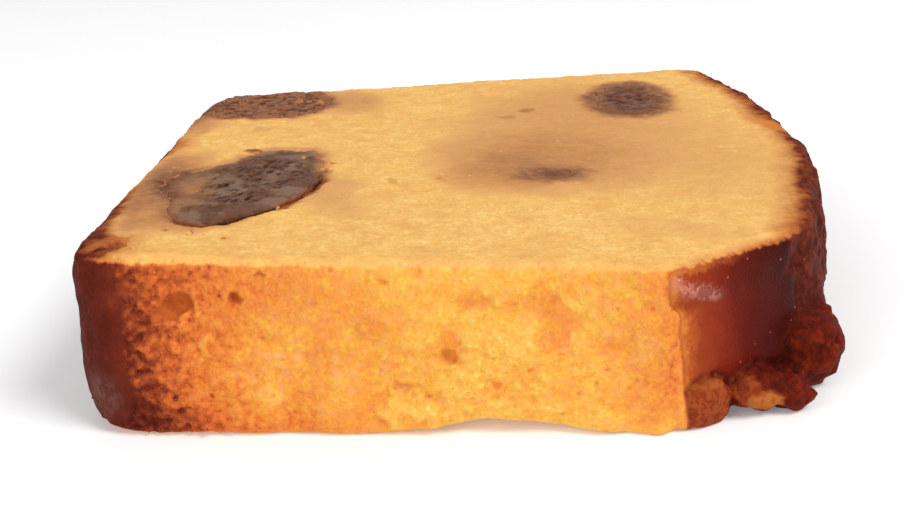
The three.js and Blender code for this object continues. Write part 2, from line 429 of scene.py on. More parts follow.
# Soft patches on the front wall: centre, radii, how much browner than their surroundings
# (paler below 0) and how far they stand out.
PATCHES = (
    ((-20.6, -43.2, 7.9), (1.3, 2.0, 3.0), 0.12, -0.10),
    ((-19.4, -43.1, 11.8), (1.5, 2.0, 1.5), 0.07, 0.0),
    ((-15.1, -43.8, 12.6), (1.3, 2.0, 2.6), 0.10, -0.05),
    ((-13.3, -43.7, 16.8), (0.45, 1.5, 0.4), 0.25, -0.25),
    ((-10.4, -43.8, 17.7), (1.2, 1.5, 0.45), 0.18, -0.20),
    ((-4.9, -45.1, 14.6), (2.2, 2.0, 1.0), 0.18, -0.15),
    ((-1.8, -45.6, 13.6), (1.8, 2.0, 0.5), 0.10, -0.10),
    ((2.2, -46.0, 14.4), (1.3, 2.0, 1.9), 0.24, -0.10),
    ((3.6, -46.5, 11.6), (2.0, 2.0, 2.6), 0.15, -0.05),
    ((9.6, -47.3, 9.6), (1.6, 2.0, 1.2), 0.12, -0.10),
    ((-7.2, -45.2, 9.4), (1.9, 2.0, 1.6), 0.20, -0.15),
    ((-22.4, -43.0, 3.2), (1.5, 2.0, 3.6), 0.12, -0.10),
    ((12.6, -47.7, 4.2), (2.8, 2.0, 3.4), 0.12, 0.0),
    ((14.8, -47.9, 9.6), (0.9, 2.0, 6.5), 0.16, 0.0),
    ((-31.8, -41.4, 10.4), (0.42, 1.0, 0.75), -0.30, 0.35),
    ((-12.7, -44.3, 2.6), (1.3, 1.5, 1.7), -0.16, 0.45),
    ((-9.9, -44.9, 2.5), (1.5, 1.5, 1.5), -0.16, 0.45),
    ((-6.6, -45.2, 4.2), (1.5, 1.5, 2.2), -0.10, 0.30),
    ((-0.6, -45.9, 10.5), (2.0, 1.5, 2.0), -0.12, 0.20),
    ((5.0, -46.8, 11.2), (0.3, 1.2, 0.6), -0.40, 0.25),
    ((2.5, -46.9, 3.5), (1.6, 1.5, 0.8), -0.14, 0.20),
    ((7.6, -47.6, 3.0), (1.0, 1.5, 1.0), -0.12, 0.20),
    ((5.6, -46.8, 14.2), (1.2, 1.5, 0.8), -0.16, 0.15),
    ((-26.0, -42.6, 4.6), (1.4, 1.5, 1.2), -0.10, 0.20),
    ((-28.6, -42.2, 7.4), (1.8, 1.5, 1.2), -0.10, 0.15),
    ((-25.4, -42.4, 9.0), (1.4, 1.5, 1.4), -0.08, 0.10),
    ((-15.6, -42.7, 18.6), (1.7, 1.3, 0.55), -0.40, 0.30),
    ((-9.4, -43.3, 18.5), (1.6, 1.3, 0.50), -0.40, 0.30),
)

# Brown juice that has soaked from the fruit into the cut face: centre, radii, turn and strength.
STAINS = (
    ((7.0, -8.5), (11.5, 13.0), 0, 0.30),
    ((3.6, -12.0), (6.5, 7.0), 0, 0.22),
    ((10.0, 12.0), (14.0, 26.0), -20, 0.20),
    ((24.0, 8.0), (16.0, 30.0), 0, 0.14),
    ((30.0, -18.0), (14.0, 20.0), 0, 0.07),
    ((17.0, -36.0), (8.0, 4.0), -20, 0.12),
    ((-38.8, -13.0), (4.0, 12.0), -6, 0.72),
    ((-35.5, -28.5), (6.0, 3.6), 0, 0.42),
    ((-18.0, -20.0), (4.5, 9.0), 0, 0.20),
    ((-19.0, 0.0), (4.0, 6.0), 0, 0.10),
    ((-17.0, 29.0), (5.5, 7.0), 0, 0.34),
    ((-38.8, 28.0), (4.6, 12.0), 0, 0.80),
    ((-24.0, 14.0), (14.0, 6.0), 0, 0.08),
)

# Small brown bits on the cut face: centre, radii, strength and how far they stand out.
FLECKS = (
    ((5.8, 15.7), (1.3, 1.2), 0.30, 0.0),
    ((9.1, 19.7), (1.3, 1.5), 0.45, 0.0),
    ((-11.4, -14.5), (0.45, 1.3), 0.30, -0.10),
    ((-28.8, 12.8), (1.3, 1.6), 0.22, 0.0),
    ((-36.5, 13.0), (0.8, 1.2), 0.20, 0.0),
    ((-33.5, -31.7), (0.25, 0.5), 0.90, -0.10),
    ((-29.2, 0.9), (1.2, 0.9), 0.80, 0.22),
    ((-27.6, -0.9), (1.2, 0.8), 0.85, 0.22),
    ((8.0, -41.0), (0.22, 0.4), 0.70, -0.10),
    ((-36.2, -30.7), (0.3, 0.5), 0.60, -0.10),
)

# Where the base's skin has torn off the cut face's front corner: centre, radii and depth.
BITES = (
    ((-42.2, -37.0), (1.7, 1.9), 0.28),
    ((-40.6, -35.4), (1.5, 1.6), 0.22),
    ((-41.4, -32.6), (1.6, 1.7), 0.18),
    ((-41.6, -28.5), (1.3, 2.2), 0.18),
    ((-41.0, -21.0), (1.5, 3.4), 0.15),
)

# Torn lumps at the foot of the dome's front corner: centre and radii.
TORN_LUMPS = (
    ((24.7, -43.9, 2.4), (4.0, 3.6, 2.8)),
    ((28.1, -43.9, 1.9), (3.2, 3.6, 2.8)),
    ((18.5, -46.4, 2.2), (4.2, 3.4, 3.6)),
    ((31.7, -37.7, 4.2), (4.9, 5.8, 5.6)),
)
BROKEN_SPOT = ((24.8, -46.4, 1.9), (2.1, 2.0, 1.1))  # open crumb on the front lump
FLAKES = (  # paler flakes on the lumps
    ((18.4, -46.8, 2.0), (3.0, 3.2, 3.5)),
    ((23.2, -46.0, 3.2), (1.7, 2.4, 1.5)),
)
FLAKE_EDGE = ((18.4, -46.8, 4.7), (2.8, 3.0, 0.5))  # the flake's ragged upper edge, painted paler as a highlight
TORN_MIDDLE = ((-7.5, -45, 5.0), (9, 6, 6.5))  # more torn crumb, low on the front wall
WORN_PATCH = ((-43.4, -38.8, 4.4), (2.4, 2.6, 2.4))  # rubbed grey on the base's front corner
DENT = ((41.8, 7.5, 17.0), (1.9, 4.6, 2.2))  # an orange dent in the dome's rim
DENT_TURN = 30  # degrees about Z, so that the dent runs along the rim
PINKISH = ((-26.5, -42.5, 6.5), (8.5, 6.0, 6.0))  # paler, pinkish crumb low on the front wall
FOOT_LUMP = ((13.4, -47.4, 0.0), (2.2, 3.0, 1.3))  # crumb pushed out at the front wall's foot
FOOT_LUMP_HEIGHT = 0.5
SHEEN =((16.8, -46.4, 15.2), (3.3, 2.8, 0.85))  # the lip's glossy streak, with fine wrinkles and a painted pinkish highlight


def skin_share(at):
    """1 on baked skin (base, dome and the lip), 0 on crumb. Its edge is torn."""
    wander = noise(at.points, 2.6, 11) + 0.6 * noise(at.points, 0.9, 12)
    base_edge = SKIN_WIDTH - 2.2 * step(4, 1, at.z) + wander
    on_base = step(base_edge + 1.2, base_edge - 1.2, at.base_depth) * (at.base + at.front + at.back)
    return np.clip(on_base + at.dome + at.lip, 0, 1)


def raggedness(at):
    """How torn the crumb of the walls is, from 0 for smooth to 1 by the base and its corner."""
    low_middle = spot(at.points, TORN_MIDDLE, 1.0)
    by_base = step(SKIN_WIDTH + 17, SKIN_WIDTH + 3, at.base_depth + 4 * step(5, 16, at.z))
    return np.clip(0.06 + 0.94 * by_base + 0.35 * low_middle + 0.25 * at.back, 0, 1)


PATCH_STRENGTH = 0.62  # how much of each patch's tone shows
THROUGH = 30  # height of a spot that marks the cut face at any level


def patches(points):
    """How much browner the front wall's soft patches are, and how far they stand out."""
    moved = points + 1.3 * noise_vector(points, 1.6, 23)
    browner = np.zeros(len(points))
    raised = np.zeros(len(points))
    for *place, tone, height in PATCHES:
        here = spot(moved, place, 1.0)
        browner += PATCH_STRENGTH * tone * here
        raised += height * here
    return browner, raised


def bites(points):
    """How deep the torn spots along the cut face's base edge are."""
    moved = points + 1.1 * noise_vector(points, 1.5, 24)
    depth = np.zeros(len(points))
    for centre, radii, deep in BITES:
        here = spot(moved, ((*centre, HIGH[2]), (*radii, THROUGH)), 0.9)
        depth = np.maximum(depth, deep * here)
    return depth


def browning(at):
    """How dark the walls are baked, from 0 for pale crumb to 1 for the darkest crust."""
    blotch = noise(at.points, 7, 21)
    fine = noise(at.points, 1.5, 22)
    past_skin = at.base_depth - SKIN_WIDTH + 1.8 * blotch + 1.6 * fine - 4.5 * step(7, 1, at.z)
    pan_wall = np.interp(
        past_skin,
        [-3, 0, 1.5, 3.5, 5.5, 9, 14, 24, 32, 42, 50, 55],
        [0.95, 0.83, 0.75, 0.69, 0.64, 0.56, 0.44, 0.32, 0.23, 0.24, 0.32, 0.40],
    )
    near_lip = 0.42 * step(1.2, 0.0, -at.past_lip_edge + 0.4 * fine)
    browner, _ = patches(at.points)
    walls = at.front * (np.maximum(pan_wall, near_lip) + browner)
    walls += at.back * np.maximum(pan_wall, 0.34) + at.base + at.dome + at.lip
    return walls + at.inside * (0.45 + 0.4 * step(-30, -36, at.x))


def dent(points):
    """1 in the orange dent in the dome's rim."""
    moved = points + 0.6 * noise_vector(points, 1.2, 28)
    return spot(moved, DENT, 0.9, DENT_TURN)


def holes(points):
    """1 inside the front wall's open holes."""
    return largest_spot(points + 0.6 * noise_vector(points, 1.0, 26), HOLES, 0.6)


def torn_lumps(points):
    """1 on the torn lumps, at any height."""
    return largest_spot(points, TORN_LUMPS, 0.3)


def low_torn_lumps(points):
    """1 on the torn lumps, up to where the dome's own crust starts."""
    return torn_lumps(points) * step(9.5, 7.5, points[:, 2])


def ragged_spot(points, place, seed):
    """1 inside a spot with a ragged edge."""
    return spot(points + 0.7 * noise_vector(points, 1.0, seed), place, 0.2)


# How the knife met each piece. outline is the cut flesh as it shows, turn the way its fibres
# run in degrees, pores how open they are, buried how far in from the outline crumb covers it,
# soak how far its juice has gone into the crumb in millimetres, juice how strongly, tone how pale
# the flesh is, and haze how softly it ends.
FRUIT_CUTS = {
    "fruit_front_left": {
        "outline": (
            (-37.3, -18.9), (-38.6, -15.0), (-38.8, -10.6), (-36.8, -8.2), (-34.3, -6.8), (-31.8, -4.4),
            (-28.0, 0.8), (-24.4, 1.3), (-21.0, 0.6), (-20.0, -3.4), (-19.8, -12.8), (-22.2, -19.6),
            (-25.4, -24.8), (-29.2, -27.9), (-33.0, -29.4), (-35.6, -27.2), (-37.2, -22.9),
        ),
        "turn": 52, "pores": 1.0, "buried": 0.15, "soak": 2.2, "juice": 0.46, "tone": 0.0, "haze": 0.5,
    },
    "fruit_back_left": {
        "outline": (
            (-36.2, 20.4), (-30.0, 19.7), (-25.0, 20.2), (-21.4, 22.6), (-19.6, 26.0),
            (-19.0, 31.0), (-20.0, 36.6), (-27.0, 38.0), (-34.6, 36.6), (-36.9, 28.0),
        ),
        "turn": 5, "pores": 0.45, "buried": 0.4, "soak": 2.0, "juice": 0.62, "tone": 1.0, "haze": 0.6,
    },
    "fruit_middle": {
        "outline": ((4.0, -14.6), (5.8, -12.2), (8.8, -11.6), (11.8, -13.2), (10.6, -16.0), (7.2, -17.0)),
        "turn": 0, "pores": 0.3, "buried": 0.9, "soak": 2.6, "juice": 0.55, "tone": 0.3, "haze": 1.0,
    },
    "fruit_back_right": {
        "outline": (
            (18.4, 21.6), (19.8, 30.0), (23.4, 36.0), (28.6, 38.0), (31.8, 34.6),
            (32.0, 26.0), (29.6, 18.0), (25.4, 14.0), (21.2, 14.8),
        ),
        "turn": -8, "pores": 0.6, "buried": 1.4, "soak": 2.2, "juice": 0.66, "tone": 0.5, "haze": 0.9,
    },
}
SMEARED = ((-37.6, -15.0, 19.5), (3.8, 9.0, 9.0))  # where the knife drew crumb over the fruit
POCKET_DEPTH = 1.3  # how far the cut face is sunk where a fruit shows
CREVICE_DEPTH = 0.45  # how deep the crumb has opened beside the front left fruit's peel
HIDDEN_RIM = 0.7  # how far a fruit reaches under the crumb where none has torn away
BEHIND_BACK = 0.05  # how far behind the back wall's line a fruit stays
BEHIND_BASE = 2.0  # how far behind the base wall's line a fruit stays
FRUIT_SWELL = 0.34  # fills the clearance that each piece has in its pocket
PEEL_TOWARDS = 0.9  # the side where the fruit's peel shows, in radians clockwise from the dome


def cut_gap(name, points):
    """How far outside a fruit's shown outline each point is. The outline is a little ragged."""
    ragged = 0.7 * noise(points, 2.2, 105) + 0.35 * noise(points, 0.8, 109)
    return outline_gap(points, FRUIT_CUTS[name]["outline"]) + ragged


def centre_of(name):
    outline = np.array(FRUIT_CUTS[name]["outline"])
    return (outline.min(axis=0) + outline.max(axis=0)) / 2


def open_side(name, points):
    """1 on the side of a fruit where the crumb has pulled away from its peel."""
    away = points[:, :2] - centre_of(name)
    direction = np.arctan2(away[:, 1], away[:, 0])
    return FRUIT_CUTS[name]["pores"] * step(0.05, 0.6, np.cos(direction + PEEL_TOWARDS))


def by_fruit(name, points, reach):
    """Which points are within reach of a fruit's outline, near the cut face."""
    gap = outline_gap(points, FRUIT_CUTS[name]["outline"])
    return np.flatnonzero((gap < reach) & (points[:, 2] > 12))


def crevice(points):
    """How far the crumb has pulled away from the front left fruit's peel, from 0 to 1."""
    name = "fruit_front_left"
    near = by_fruit(name, points, 4)
    found = np.zeros(len(points))
    width = 0.75 + 0.6 * noise(points[near], 3.0, 110)
    torn_away = step(width + 0.25, width - 0.25, cut_gap(name, points[near]))
    found[near] = torn_away * open_side(name, points[near])
    return found


def pockets(points):
    """How deep the cut face is sunk where the fruit shows."""
    sunk = np.zeros(len(points))
    for name, cut in FRUIT_CUTS.items():
        near = by_fruit(name, points, 1)
        bare = -cut_gap(name, points[near]) - cut["buried"]
        sunk[near] = np.maximum(sunk[near], POCKET_DEPTH * step(-0.05, 0.45, bare))
    return sunk


def stain(points):
    """How much fruit juice the cut face holds, from 0 to 1."""
    warped = points + 2.2 * noise_vector(points, 6, 31) + 0.8 * noise_vector(points, 1.8, 32)
    dry = np.ones(len(points))
    for centre, radii, turn, strength in STAINS:
        dry *= 1 - strength * spot(warped, ((*centre, HIGH[2]), (*radii, THROUGH)), 1.4, turn)
    for name, cut in FRUIT_CUTS.items():
        dry *= 1 - cut["juice"] * step(cut["soak"], -0.8, cut_gap(name, warped * 0.4 + points * 0.6))
    return 1 - dry


def flecks(points):
    """How brown the cut face's small bits are, and how far they stand out."""
    moved = points + 0.5 * noise_vector(points, 1.0, 33)
    brown = np.zeros(len(points))
    raised = np.zeros(len(points))
    for centre, radii, strength, height in FLECKS:
        here = spot(moved, ((*centre, HIGH[2] - 0.6), (*radii, 4)), 0.5)
        brown = np.maximum(brown, strength * here)
        raised += height * here
    return brown, raised


# ---- The cake ----


def crumb_relief(at):
    """Height of torn crumb above the plain wall."""
    points = at.points
    torn = raggedness(at)
    moved = points + 0.6 * noise_vector(points, 1.3, 41)
    lumps = 0.40 * noise(points, 5.5, 42) + 0.40 * noise(points, 2.3, 43)
    lumps *= 0.3 + 0.7 * step(0.3, 3.0, at.below_cut)
    beside_lip = 1 - step(-2.8, -0.3, at.past_lip_edge)
    curds = 0.42 * noise(moved, 1.15, 44) + 0.30 * noise(moved, 0.66, 45)
    mound, _ = nearest_grain(moved, 1.5, 48)
    small_mound, _ = nearest_grain(moved, 0.95, 49)
    mounds = (0.30 - mound**2) + 0.6 * (0.30 - small_mound**2)
    height = lumps * (0.45 + 0.4 * torn) + curds * (0.34 + 0.26 * torn) + mounds * (0.14 + 0.34 * torn)
    height -= (0.20 + 0.14 * torn) * pits(moved, 2.1, 46, 0.26)
    height -= 0.22 * pits(points, 2.1, 47, 0.10)
    height += FOOT_LUMP_HEIGHT * spot(points, FOOT_LUMP, 1.0)
    open_share = holes(points)
    return (height + patches(points)[1]) * beside_lip * (1 - open_share) - HOLE_DEPTH * open_share


def dome_relief(at):
    """Height of the dome's pebbled crust."""
    points = at.points
    pebble, _ = nearest_grain(points + 0.7 * noise_vector(points, 1.2, 54), 2.2, 51)
    broad = 0.60 * noise(points, 4.6, 52) + 0.45 * noise(points, 2.3, 55)
    return broad + 0.34 * (0.5 - pebble) + 0.14 * noise(points, 0.9, 53)


def lip_relief(at):
    """The smooth lip, which stands proud of the crumb and has fine wrinkles along its glossy streak."""
    points = at.points
    wrinkles = noise(points * [0.6, 0.6, 1.6], 0.8, 55) * sheen(points)
    waves = 0.30 * noise(points, 4.5, 56) + 0.10 * noise(points, 1.3, 57) + 0.22 * wrinkles
    proud = 0.30 * step(0.2, 4.0, at.past_lip_edge)
    return waves + (proud + 0.35 * sheen(points)) * step(3.0, 5.5, at.z)


def sheen(points):
    """1 along the glossy streak under the lip's upper corner, which slopes down towards the dome; its
    highlight is painted pale pink.
    """
    level = points + np.outer(0.33 * (points[:, 0] - SHEEN[0][0]), [0, 0, 1])
    return spot(level + 0.4 * noise_vector(points, 1.2, 65), SHEEN, 1.0)


def lump_relief(at):
    """Height of the rough lumps, which are open like a sponge towards the dome."""
    points = at.points
    porous = step(28.0, 30.0, at.x)
    lumps = 0.75 * noise(points, 2.8, 58) + 0.40 * noise(points, 1.3, 59) + 0.15 * noise(points, 0.7, 66)
    flat = step(23.0, 21.0, at.x)
    flake = 0.40 * ragged_spot(points, FLAKES[0], 20)
    return lumps * (1 - 0.8 * flat) + flake - (0.15 + 0.4 * porous) * pits(points, 1.7, 60, 0.34)


def base_relief(at):
    """Height of the base's smooth skin, which has a few small pits."""
    points = at.points
    waves = 0.22 * noise(points, 6, 61) + 0.16 * noise(points, 1.8, 62) + 0.07 * noise(points, 0.8, 63)
    return waves - 0.12 * pits(points, 2.2, 64, 0.14)


def cut_relief(at):
    """Height of the knife's cut, with fine crumb and ragged rims."""
    points = at.points
    waves = 0.12 * noise(points, 4.5, 71)
    grain = 0.12 * noise(points, 1.5, 72) + 0.10 * noise(points, 0.8, 73) - 0.12 * pits(points, 2.4, 74, 0.2)
    near_front = step(2.2, 0.3, at.front_depth + 0.8 * noise(points, 1.6, 75))
    near_base = step(5.5, 1.0, at.base_depth)
    near_dome = step(3.5, 1.0, at.arch_depth)
    ragged = noise(points, 1.4, 76) * (0.16 * near_front + 0.14 * near_base + 0.18 * near_dome)
    sunk = np.maximum(pockets(points), CREVICE_DEPTH * crevice(points))
    return (waves + grain) * (sunk < 0.9) + ragged - bites(points) + flecks(points)[1] - sunk


# How far the cut face's edge is rounded at each wall.
EDGE_ROUNDING = (
    (FRONT_WALL, 0.9),
    (LIP_WALL, 1.6),
    *((wall, 1.9) for wall in DOME_WALLS),
    (BACK_WALL, 0.8),
    (BASE_WALL, 0.9),
)


def rounded(points):
    """The points with the cut face's edges rounded over."""
    points = points.copy()
    for wall, radius in EDGE_ROUNDING:
        outward = -np.array([*wall_line(wall)[1], 0.0])
        out = radius - depth_behind(points, wall)
        up = radius - (top_height(points[:, 0]) - points[:, 2])
        corner = np.clip(out, 0, radius), np.clip(up, 0, radius)
        furthest = np.hypot(*corner)
        shrink = np.minimum(1, radius / np.maximum(furthest, radius)) - 1
        near = (out > 0) & (up > 0)
        points += (near * shrink)[:, None] * (corner[0][:, None] * outward + corner[1][:, None] * [0, 0, 1])
    return points


def relieved(mesh):
    """Presses the broad relief of every surface into the slice."""
    at = places_on(mesh)
    skin = skin_share(at)
    lumps = low_torn_lumps(at.points)
    crumb_walls = (at.front + at.back) * (1 - skin)
    height = crumb_walls * crumb_relief(at)
    height += (at.base + (at.front + at.back) * skin) * base_relief(at)
    height += (1 - lumps) * (at.dome * dome_relief(at) + at.lip * lip_relief(at))
    height += lumps * lump_relief(at)
    height += at.top * cut_relief(at) + at.foot * 0.5 * crumb_relief(at)
    move_points(mesh, kept_in(rounded(shallowed(at.points)) + at.normals * height[:, None]))
    return mesh


def shallowed(points):
    """The points, with the holes that are already in the front wall made shallow."""
    outward = -np.array([*wall_line(FRONT_WALL)[1], 0.0])
    depth = np.clip(depth_behind(points, FRONT_WALL), 0, 4)
    wanted = DEEPEST_HOLE * np.tanh(depth / DEEPEST_HOLE)
    widened = [(centre, (1.6 * x, 3 * y, 1.6 * z)) for centre, (x, y, z) in HOLES]
    share = largest_spot(points, widened, 0.3) * step(4, 3, depth)
    return points + ((depth - wanted) * share)[:, None] * outward


def kept_in(points):
    """The points, with none below the floor or more than a little above the cut face."""
    points[:, 2] = np.clip(points[:, 2], 0, HIGH[2] + 0.15)
    return points


def grain_shapes(draw, kinds, rounds):
    """A few lumpy closed grains of radius 1, as points, with the triangles they share."""
    ball = bpy.data.meshes.new("ball")
    build = bmesh.new()
    bmesh.ops.create_icosphere(build, subdivisions=rounds, radius=1)
    build.to_mesh(ball)
    build.free()
    points = points_of(ball)
    shapes = []
    for kind in range(kinds):
        lumpy = 1 + 0.6 * noise(points + 9 * kind, 0.9, 81) + 0.25 * noise(points + 9 * kind, 0.45, 82)
        shapes.append(points * lumpy[:, None] * draw.uniform(0.55, 1.15, 3))
    return shapes, triangles_of(ball)


def turned(draw, count):
    """Random turns, as matrices."""
    quaternion = draw.normal(size=(count, 4))
    w, x, y, z = (quaternion / np.linalg.norm(quaternion, axis=1)[:, None]).T
    rows = [
        [1 - 2 * (y * y + z * z), 2 * (x * y - z * w), 2 * (x * z + y * w)],
        [2 * (x * y + z * w), 1 - 2 * (x * x + z * z), 2 * (y * z - x * w)],
        [2 * (x * z - y * w), 2 * (y * z + x * w), 1 - 2 * (x * x + y * y)],
    ]
    return np.array(rows).transpose(2, 0, 1)


GRAIN_KINDS = 6  # how many shapes the grains are copies of


def grains_at(draw, centres, radii, rounds):
    """Points and triangles of one lumpy grain at each centre."""
    shapes, triangles = grain_shapes(draw, GRAIN_KINDS, rounds)
    kind = draw.integers(0, GRAIN_KINDS, len(centres))
    turns = turned(draw, len(centres))
    points = np.einsum("nij,nkj->nki", turns, np.array(shapes)[kind]) * radii[:, None, None]
    points += centres[:, None, :]
    offsets = len(shapes[0]) * np.arange(len(centres))
    return points.reshape(-1, 3), (triangles[None] + offsets[:, None, None]).reshape(-1, 3)


def grains_on(draw, at, wanted, count, sizes, levels, rounds):
    """Which points get a grain, and the grains' points and triangles.

    wanted says how likely each point is, sizes is the smallest and the largest radius before torn
    crumb makes them larger, and levels how far they stand out, as shares of the radius."""
    torn = raggedness(at)
    chosen = draw.choice(len(at.points), count, replace=False, p=wanted / wanted.sum())
    radii = draw.uniform(*sizes, count) * (1 + 0.6 * torn[chosen] * draw.random(count) ** 2)
    raised = draw.uniform(*levels, count) * radii
    centres = at.points[chosen] + at.normals[chosen] * raised[:, None]
    return chosen, *grains_at(draw, centres, radii, rounds)


def areas_round(mesh):
    """The share of the surface that belongs to each point."""
    points = points_of(mesh)
    triangles = triangles_of(mesh)
    sides = points[triangles[:, 1:]] - points[triangles[:, :1]]
    area = np.linalg.norm(np.cross(sides[:, 0], sides[:, 1]), axis=1) / 6
    return np.bincount(triangles.ravel(), np.repeat(area, 3), len(points))


def with_torn_grains(mesh, count, seed=5):
    """The slice with crumb grains fused to its torn surfaces."""
    at = places_on(mesh)
    wanted = (at.front + at.back) * (1 - skin_share(at)) * (0.06 + raggedness(at)) * (1 - holes(at.points))
    wanted += 0.2 * torn_lumps(at.points) * (at.z < 9)
    wanted *= areas_round(mesh)
    draw = np.random.default_rng(seed)
    _, points, triangles = grains_on(draw, at, wanted, count, (0.22, 0.40), (-0.6, 0.05), 2)
    triangles = np.vstack([triangles_of(mesh), triangles + len(at.points)])
    return mesh_of(kept_in(np.vstack([at.points, points])), triangles)


def finely_grained(mesh):
    """Adds the finest relief that the mesh can hold."""
    at = places_on(mesh)
    crumb = (at.front + at.back) * (1 - skin_share(at)) * (0.55 + 0.2 * raggedness(at))
    rough = crumb + 0.5 * at.dome + 0.5 * at.top + 0.2 * at.foot
    fine = 0.15 * noise(at.points, 0.55, 91) + 0.12 * noise(at.points, 0.95, 92)
    move_points(mesh, kept_in(at.points + at.normals * (fine * rough)[:, None]))
    return mesh


def kept_behind(points, wall, margin):
    """The points, with none nearer than the margin to the line of a wall."""
    outside = np.maximum(0, margin - depth_behind(points, wall))
    points[:, :2] += outside[:, None] * wall_line(wall)[1]
    return points


def pocket_filling(name):
    """A fruit's solid, grown into the clearance round it but not past the cake's own faces."""
    mesh = node_mesh(name)
    points = points_of(mesh) + 1.3 * FRUIT_SWELL * normals_of(mesh)
    points[:, 2] = np.minimum(points[:, 2], top_height(points[:, 0]))
    move_points(mesh, kept_behind(points, BACK_WALL, FRUIT_SWELL))
    return mesh


def cake_mesh(size):
    """The slice's closed mesh, with most of its triangles where it is most ragged."""
    mesh = joined([node_mesh("cake"), *(pocket_filling(name) for name in FRUITS)])
    mesh = relieved(remeshed(mesh, size.voxel))
    mesh = finely_grained(remeshed(with_torn_grains(mesh, size.torn_grains), size.voxel))
    at = places_on(mesh)
    gaps = [np.abs(outline_gap(at.points, cut["outline"])) for cut in FRUIT_CUTS.values()]
    by_rims = at.top * step(2.4, 1.2, np.min(gaps, axis=0))
    plain = 0.35 + 0.3 * at.top + 0.65 * at.foot + 0.5 * at.base + 0.3 * at.back - 0.35 * at.front
    plain -= 0.4 * by_rims
    return modified(
        mesh,
        "DECIMATE",
        ratio=size.cake_triangles / (2 * len(mesh.polygons)),
        vertex_group="weights",
        vertex_group_factor=DETAIL_HELD,
        weights=np.clip(plain, 0, 1),
    )


def cake_marks(at):
    """What the crumb and crust material reads at each point.

    The walls' marks are taken as if every point faced sideways, so that they reach the rims."""
    points = at.points
    crumbly = (1 - at.top) * (1 - at.foot)
    sides = Places(points, at.normals * [1, 1, 0])
    cut_or_pocket = np.maximum(at.top, at.inside)
    lower_cut = step(0.75, 0.95, -at.normals[:, 2]) * step(3.5, 2, at.z)
    broken = ragged_spot(points, BROKEN_SPOT, 18)
    return {
        "browning": browning(sides),
        "rim_spots": 3.0 * bites(points),
        "dent": dent(points),
        "foot": np.maximum(lower_cut, at.inside),
        "dome": sides.dome,
        "lip": sides.lip,
        "lip_along": at.past_lip_edge + 0.8 * noise(points, 1.8, 16),
        "sheen": sheen(points),
        "pinkish": spot(points, PINKISH, 1.2) * sides.front,
        "skin": skin_share(sides),
        "holes": holes(points) * crumbly,
        "stain": stain(points) * cut_or_pocket,
        # Painted shade: the crevice beside the front left fruit's peel is painted brown with the flecks.
        "flecks": np.maximum(flecks(points)[0], 0.75 * crevice(points)) * cut_or_pocket,
        "torn": low_torn_lumps(points) * step(-0.3, 0.3, at.past_lip_edge),
        "flake": np.max([ragged_spot(points, flake, 20) for flake in FLAKES], axis=0),
        # Besides the opened crumb, the flake's upper edge is painted paler here: a painted highlight.
        "broken": np.maximum(broken, 0.45 * ragged_spot(points, FLAKE_EDGE, 19)),
        "worn": spot(points, WORN_PATCH, 1.0) * crumbly,
    }


def loose_grains(body, count, seed=6):
    """Fine grains that stand on the slice's torn crumb, marked like what they stand on."""
    at = places_on(body)
    torn = np.maximum(0, raggedness(at) - 0.12)
    wanted = (at.front + 0.6 * at.back) * (1 - 0.95 * skin_share(at)) * torn
    wanted *= areas_round(body) * (1 - holes(at.points))
    draw = np.random.default_rng(seed)
    chosen, points, triangles = grains_on(draw, at, wanted, count, (0.10, 0.18), (-0.7, 0.0), 1)
    grains = mesh_of(kept_in(points), triangles, "grains")
    marks = cake_marks(Places(at.points[chosen], at.normals[chosen]))
    marks["browning"] *= draw.uniform(0.92, 1.02, count)
    marks["ridge"] = draw.uniform(-0.3, 0.3, count)
    mark(grains, marks, len(points) // count)
    return grains


# ---- Shader sums ----


class Sum:
    """A number socket in a material; Python's operators add Math nodes to it."""

    def __init__(self, paint, socket):
        self.paint = paint
        self.socket = socket

    def _with(self, operation, left, right):
        node = self.paint.node("ShaderNodeMath", {"operation": operation}, {0: left, 1: right})
        return Sum(self.paint, node.outputs[0])

    def __add__(self, other):
        return self._with("ADD", self, other)

    def __radd__(self, other):
        return self._with("ADD", other, self)

    def __sub__(self, other):
        return self._with("SUBTRACT", self, other)

    def __rsub__(self, other):
        return self._with("SUBTRACT", other, self)

    def __mul__(self, other):
        return self._with("MULTIPLY", self, other)

    def __rmul__(self, other):
        return self._with("MULTIPLY", other, self)

    def most(self, other):
        """The larger of the two."""
        return self._with("MAXIMUM", self, other)

    def least(self, other):
        """The smaller of the two."""
        return self._with("MINIMUM", self, other)


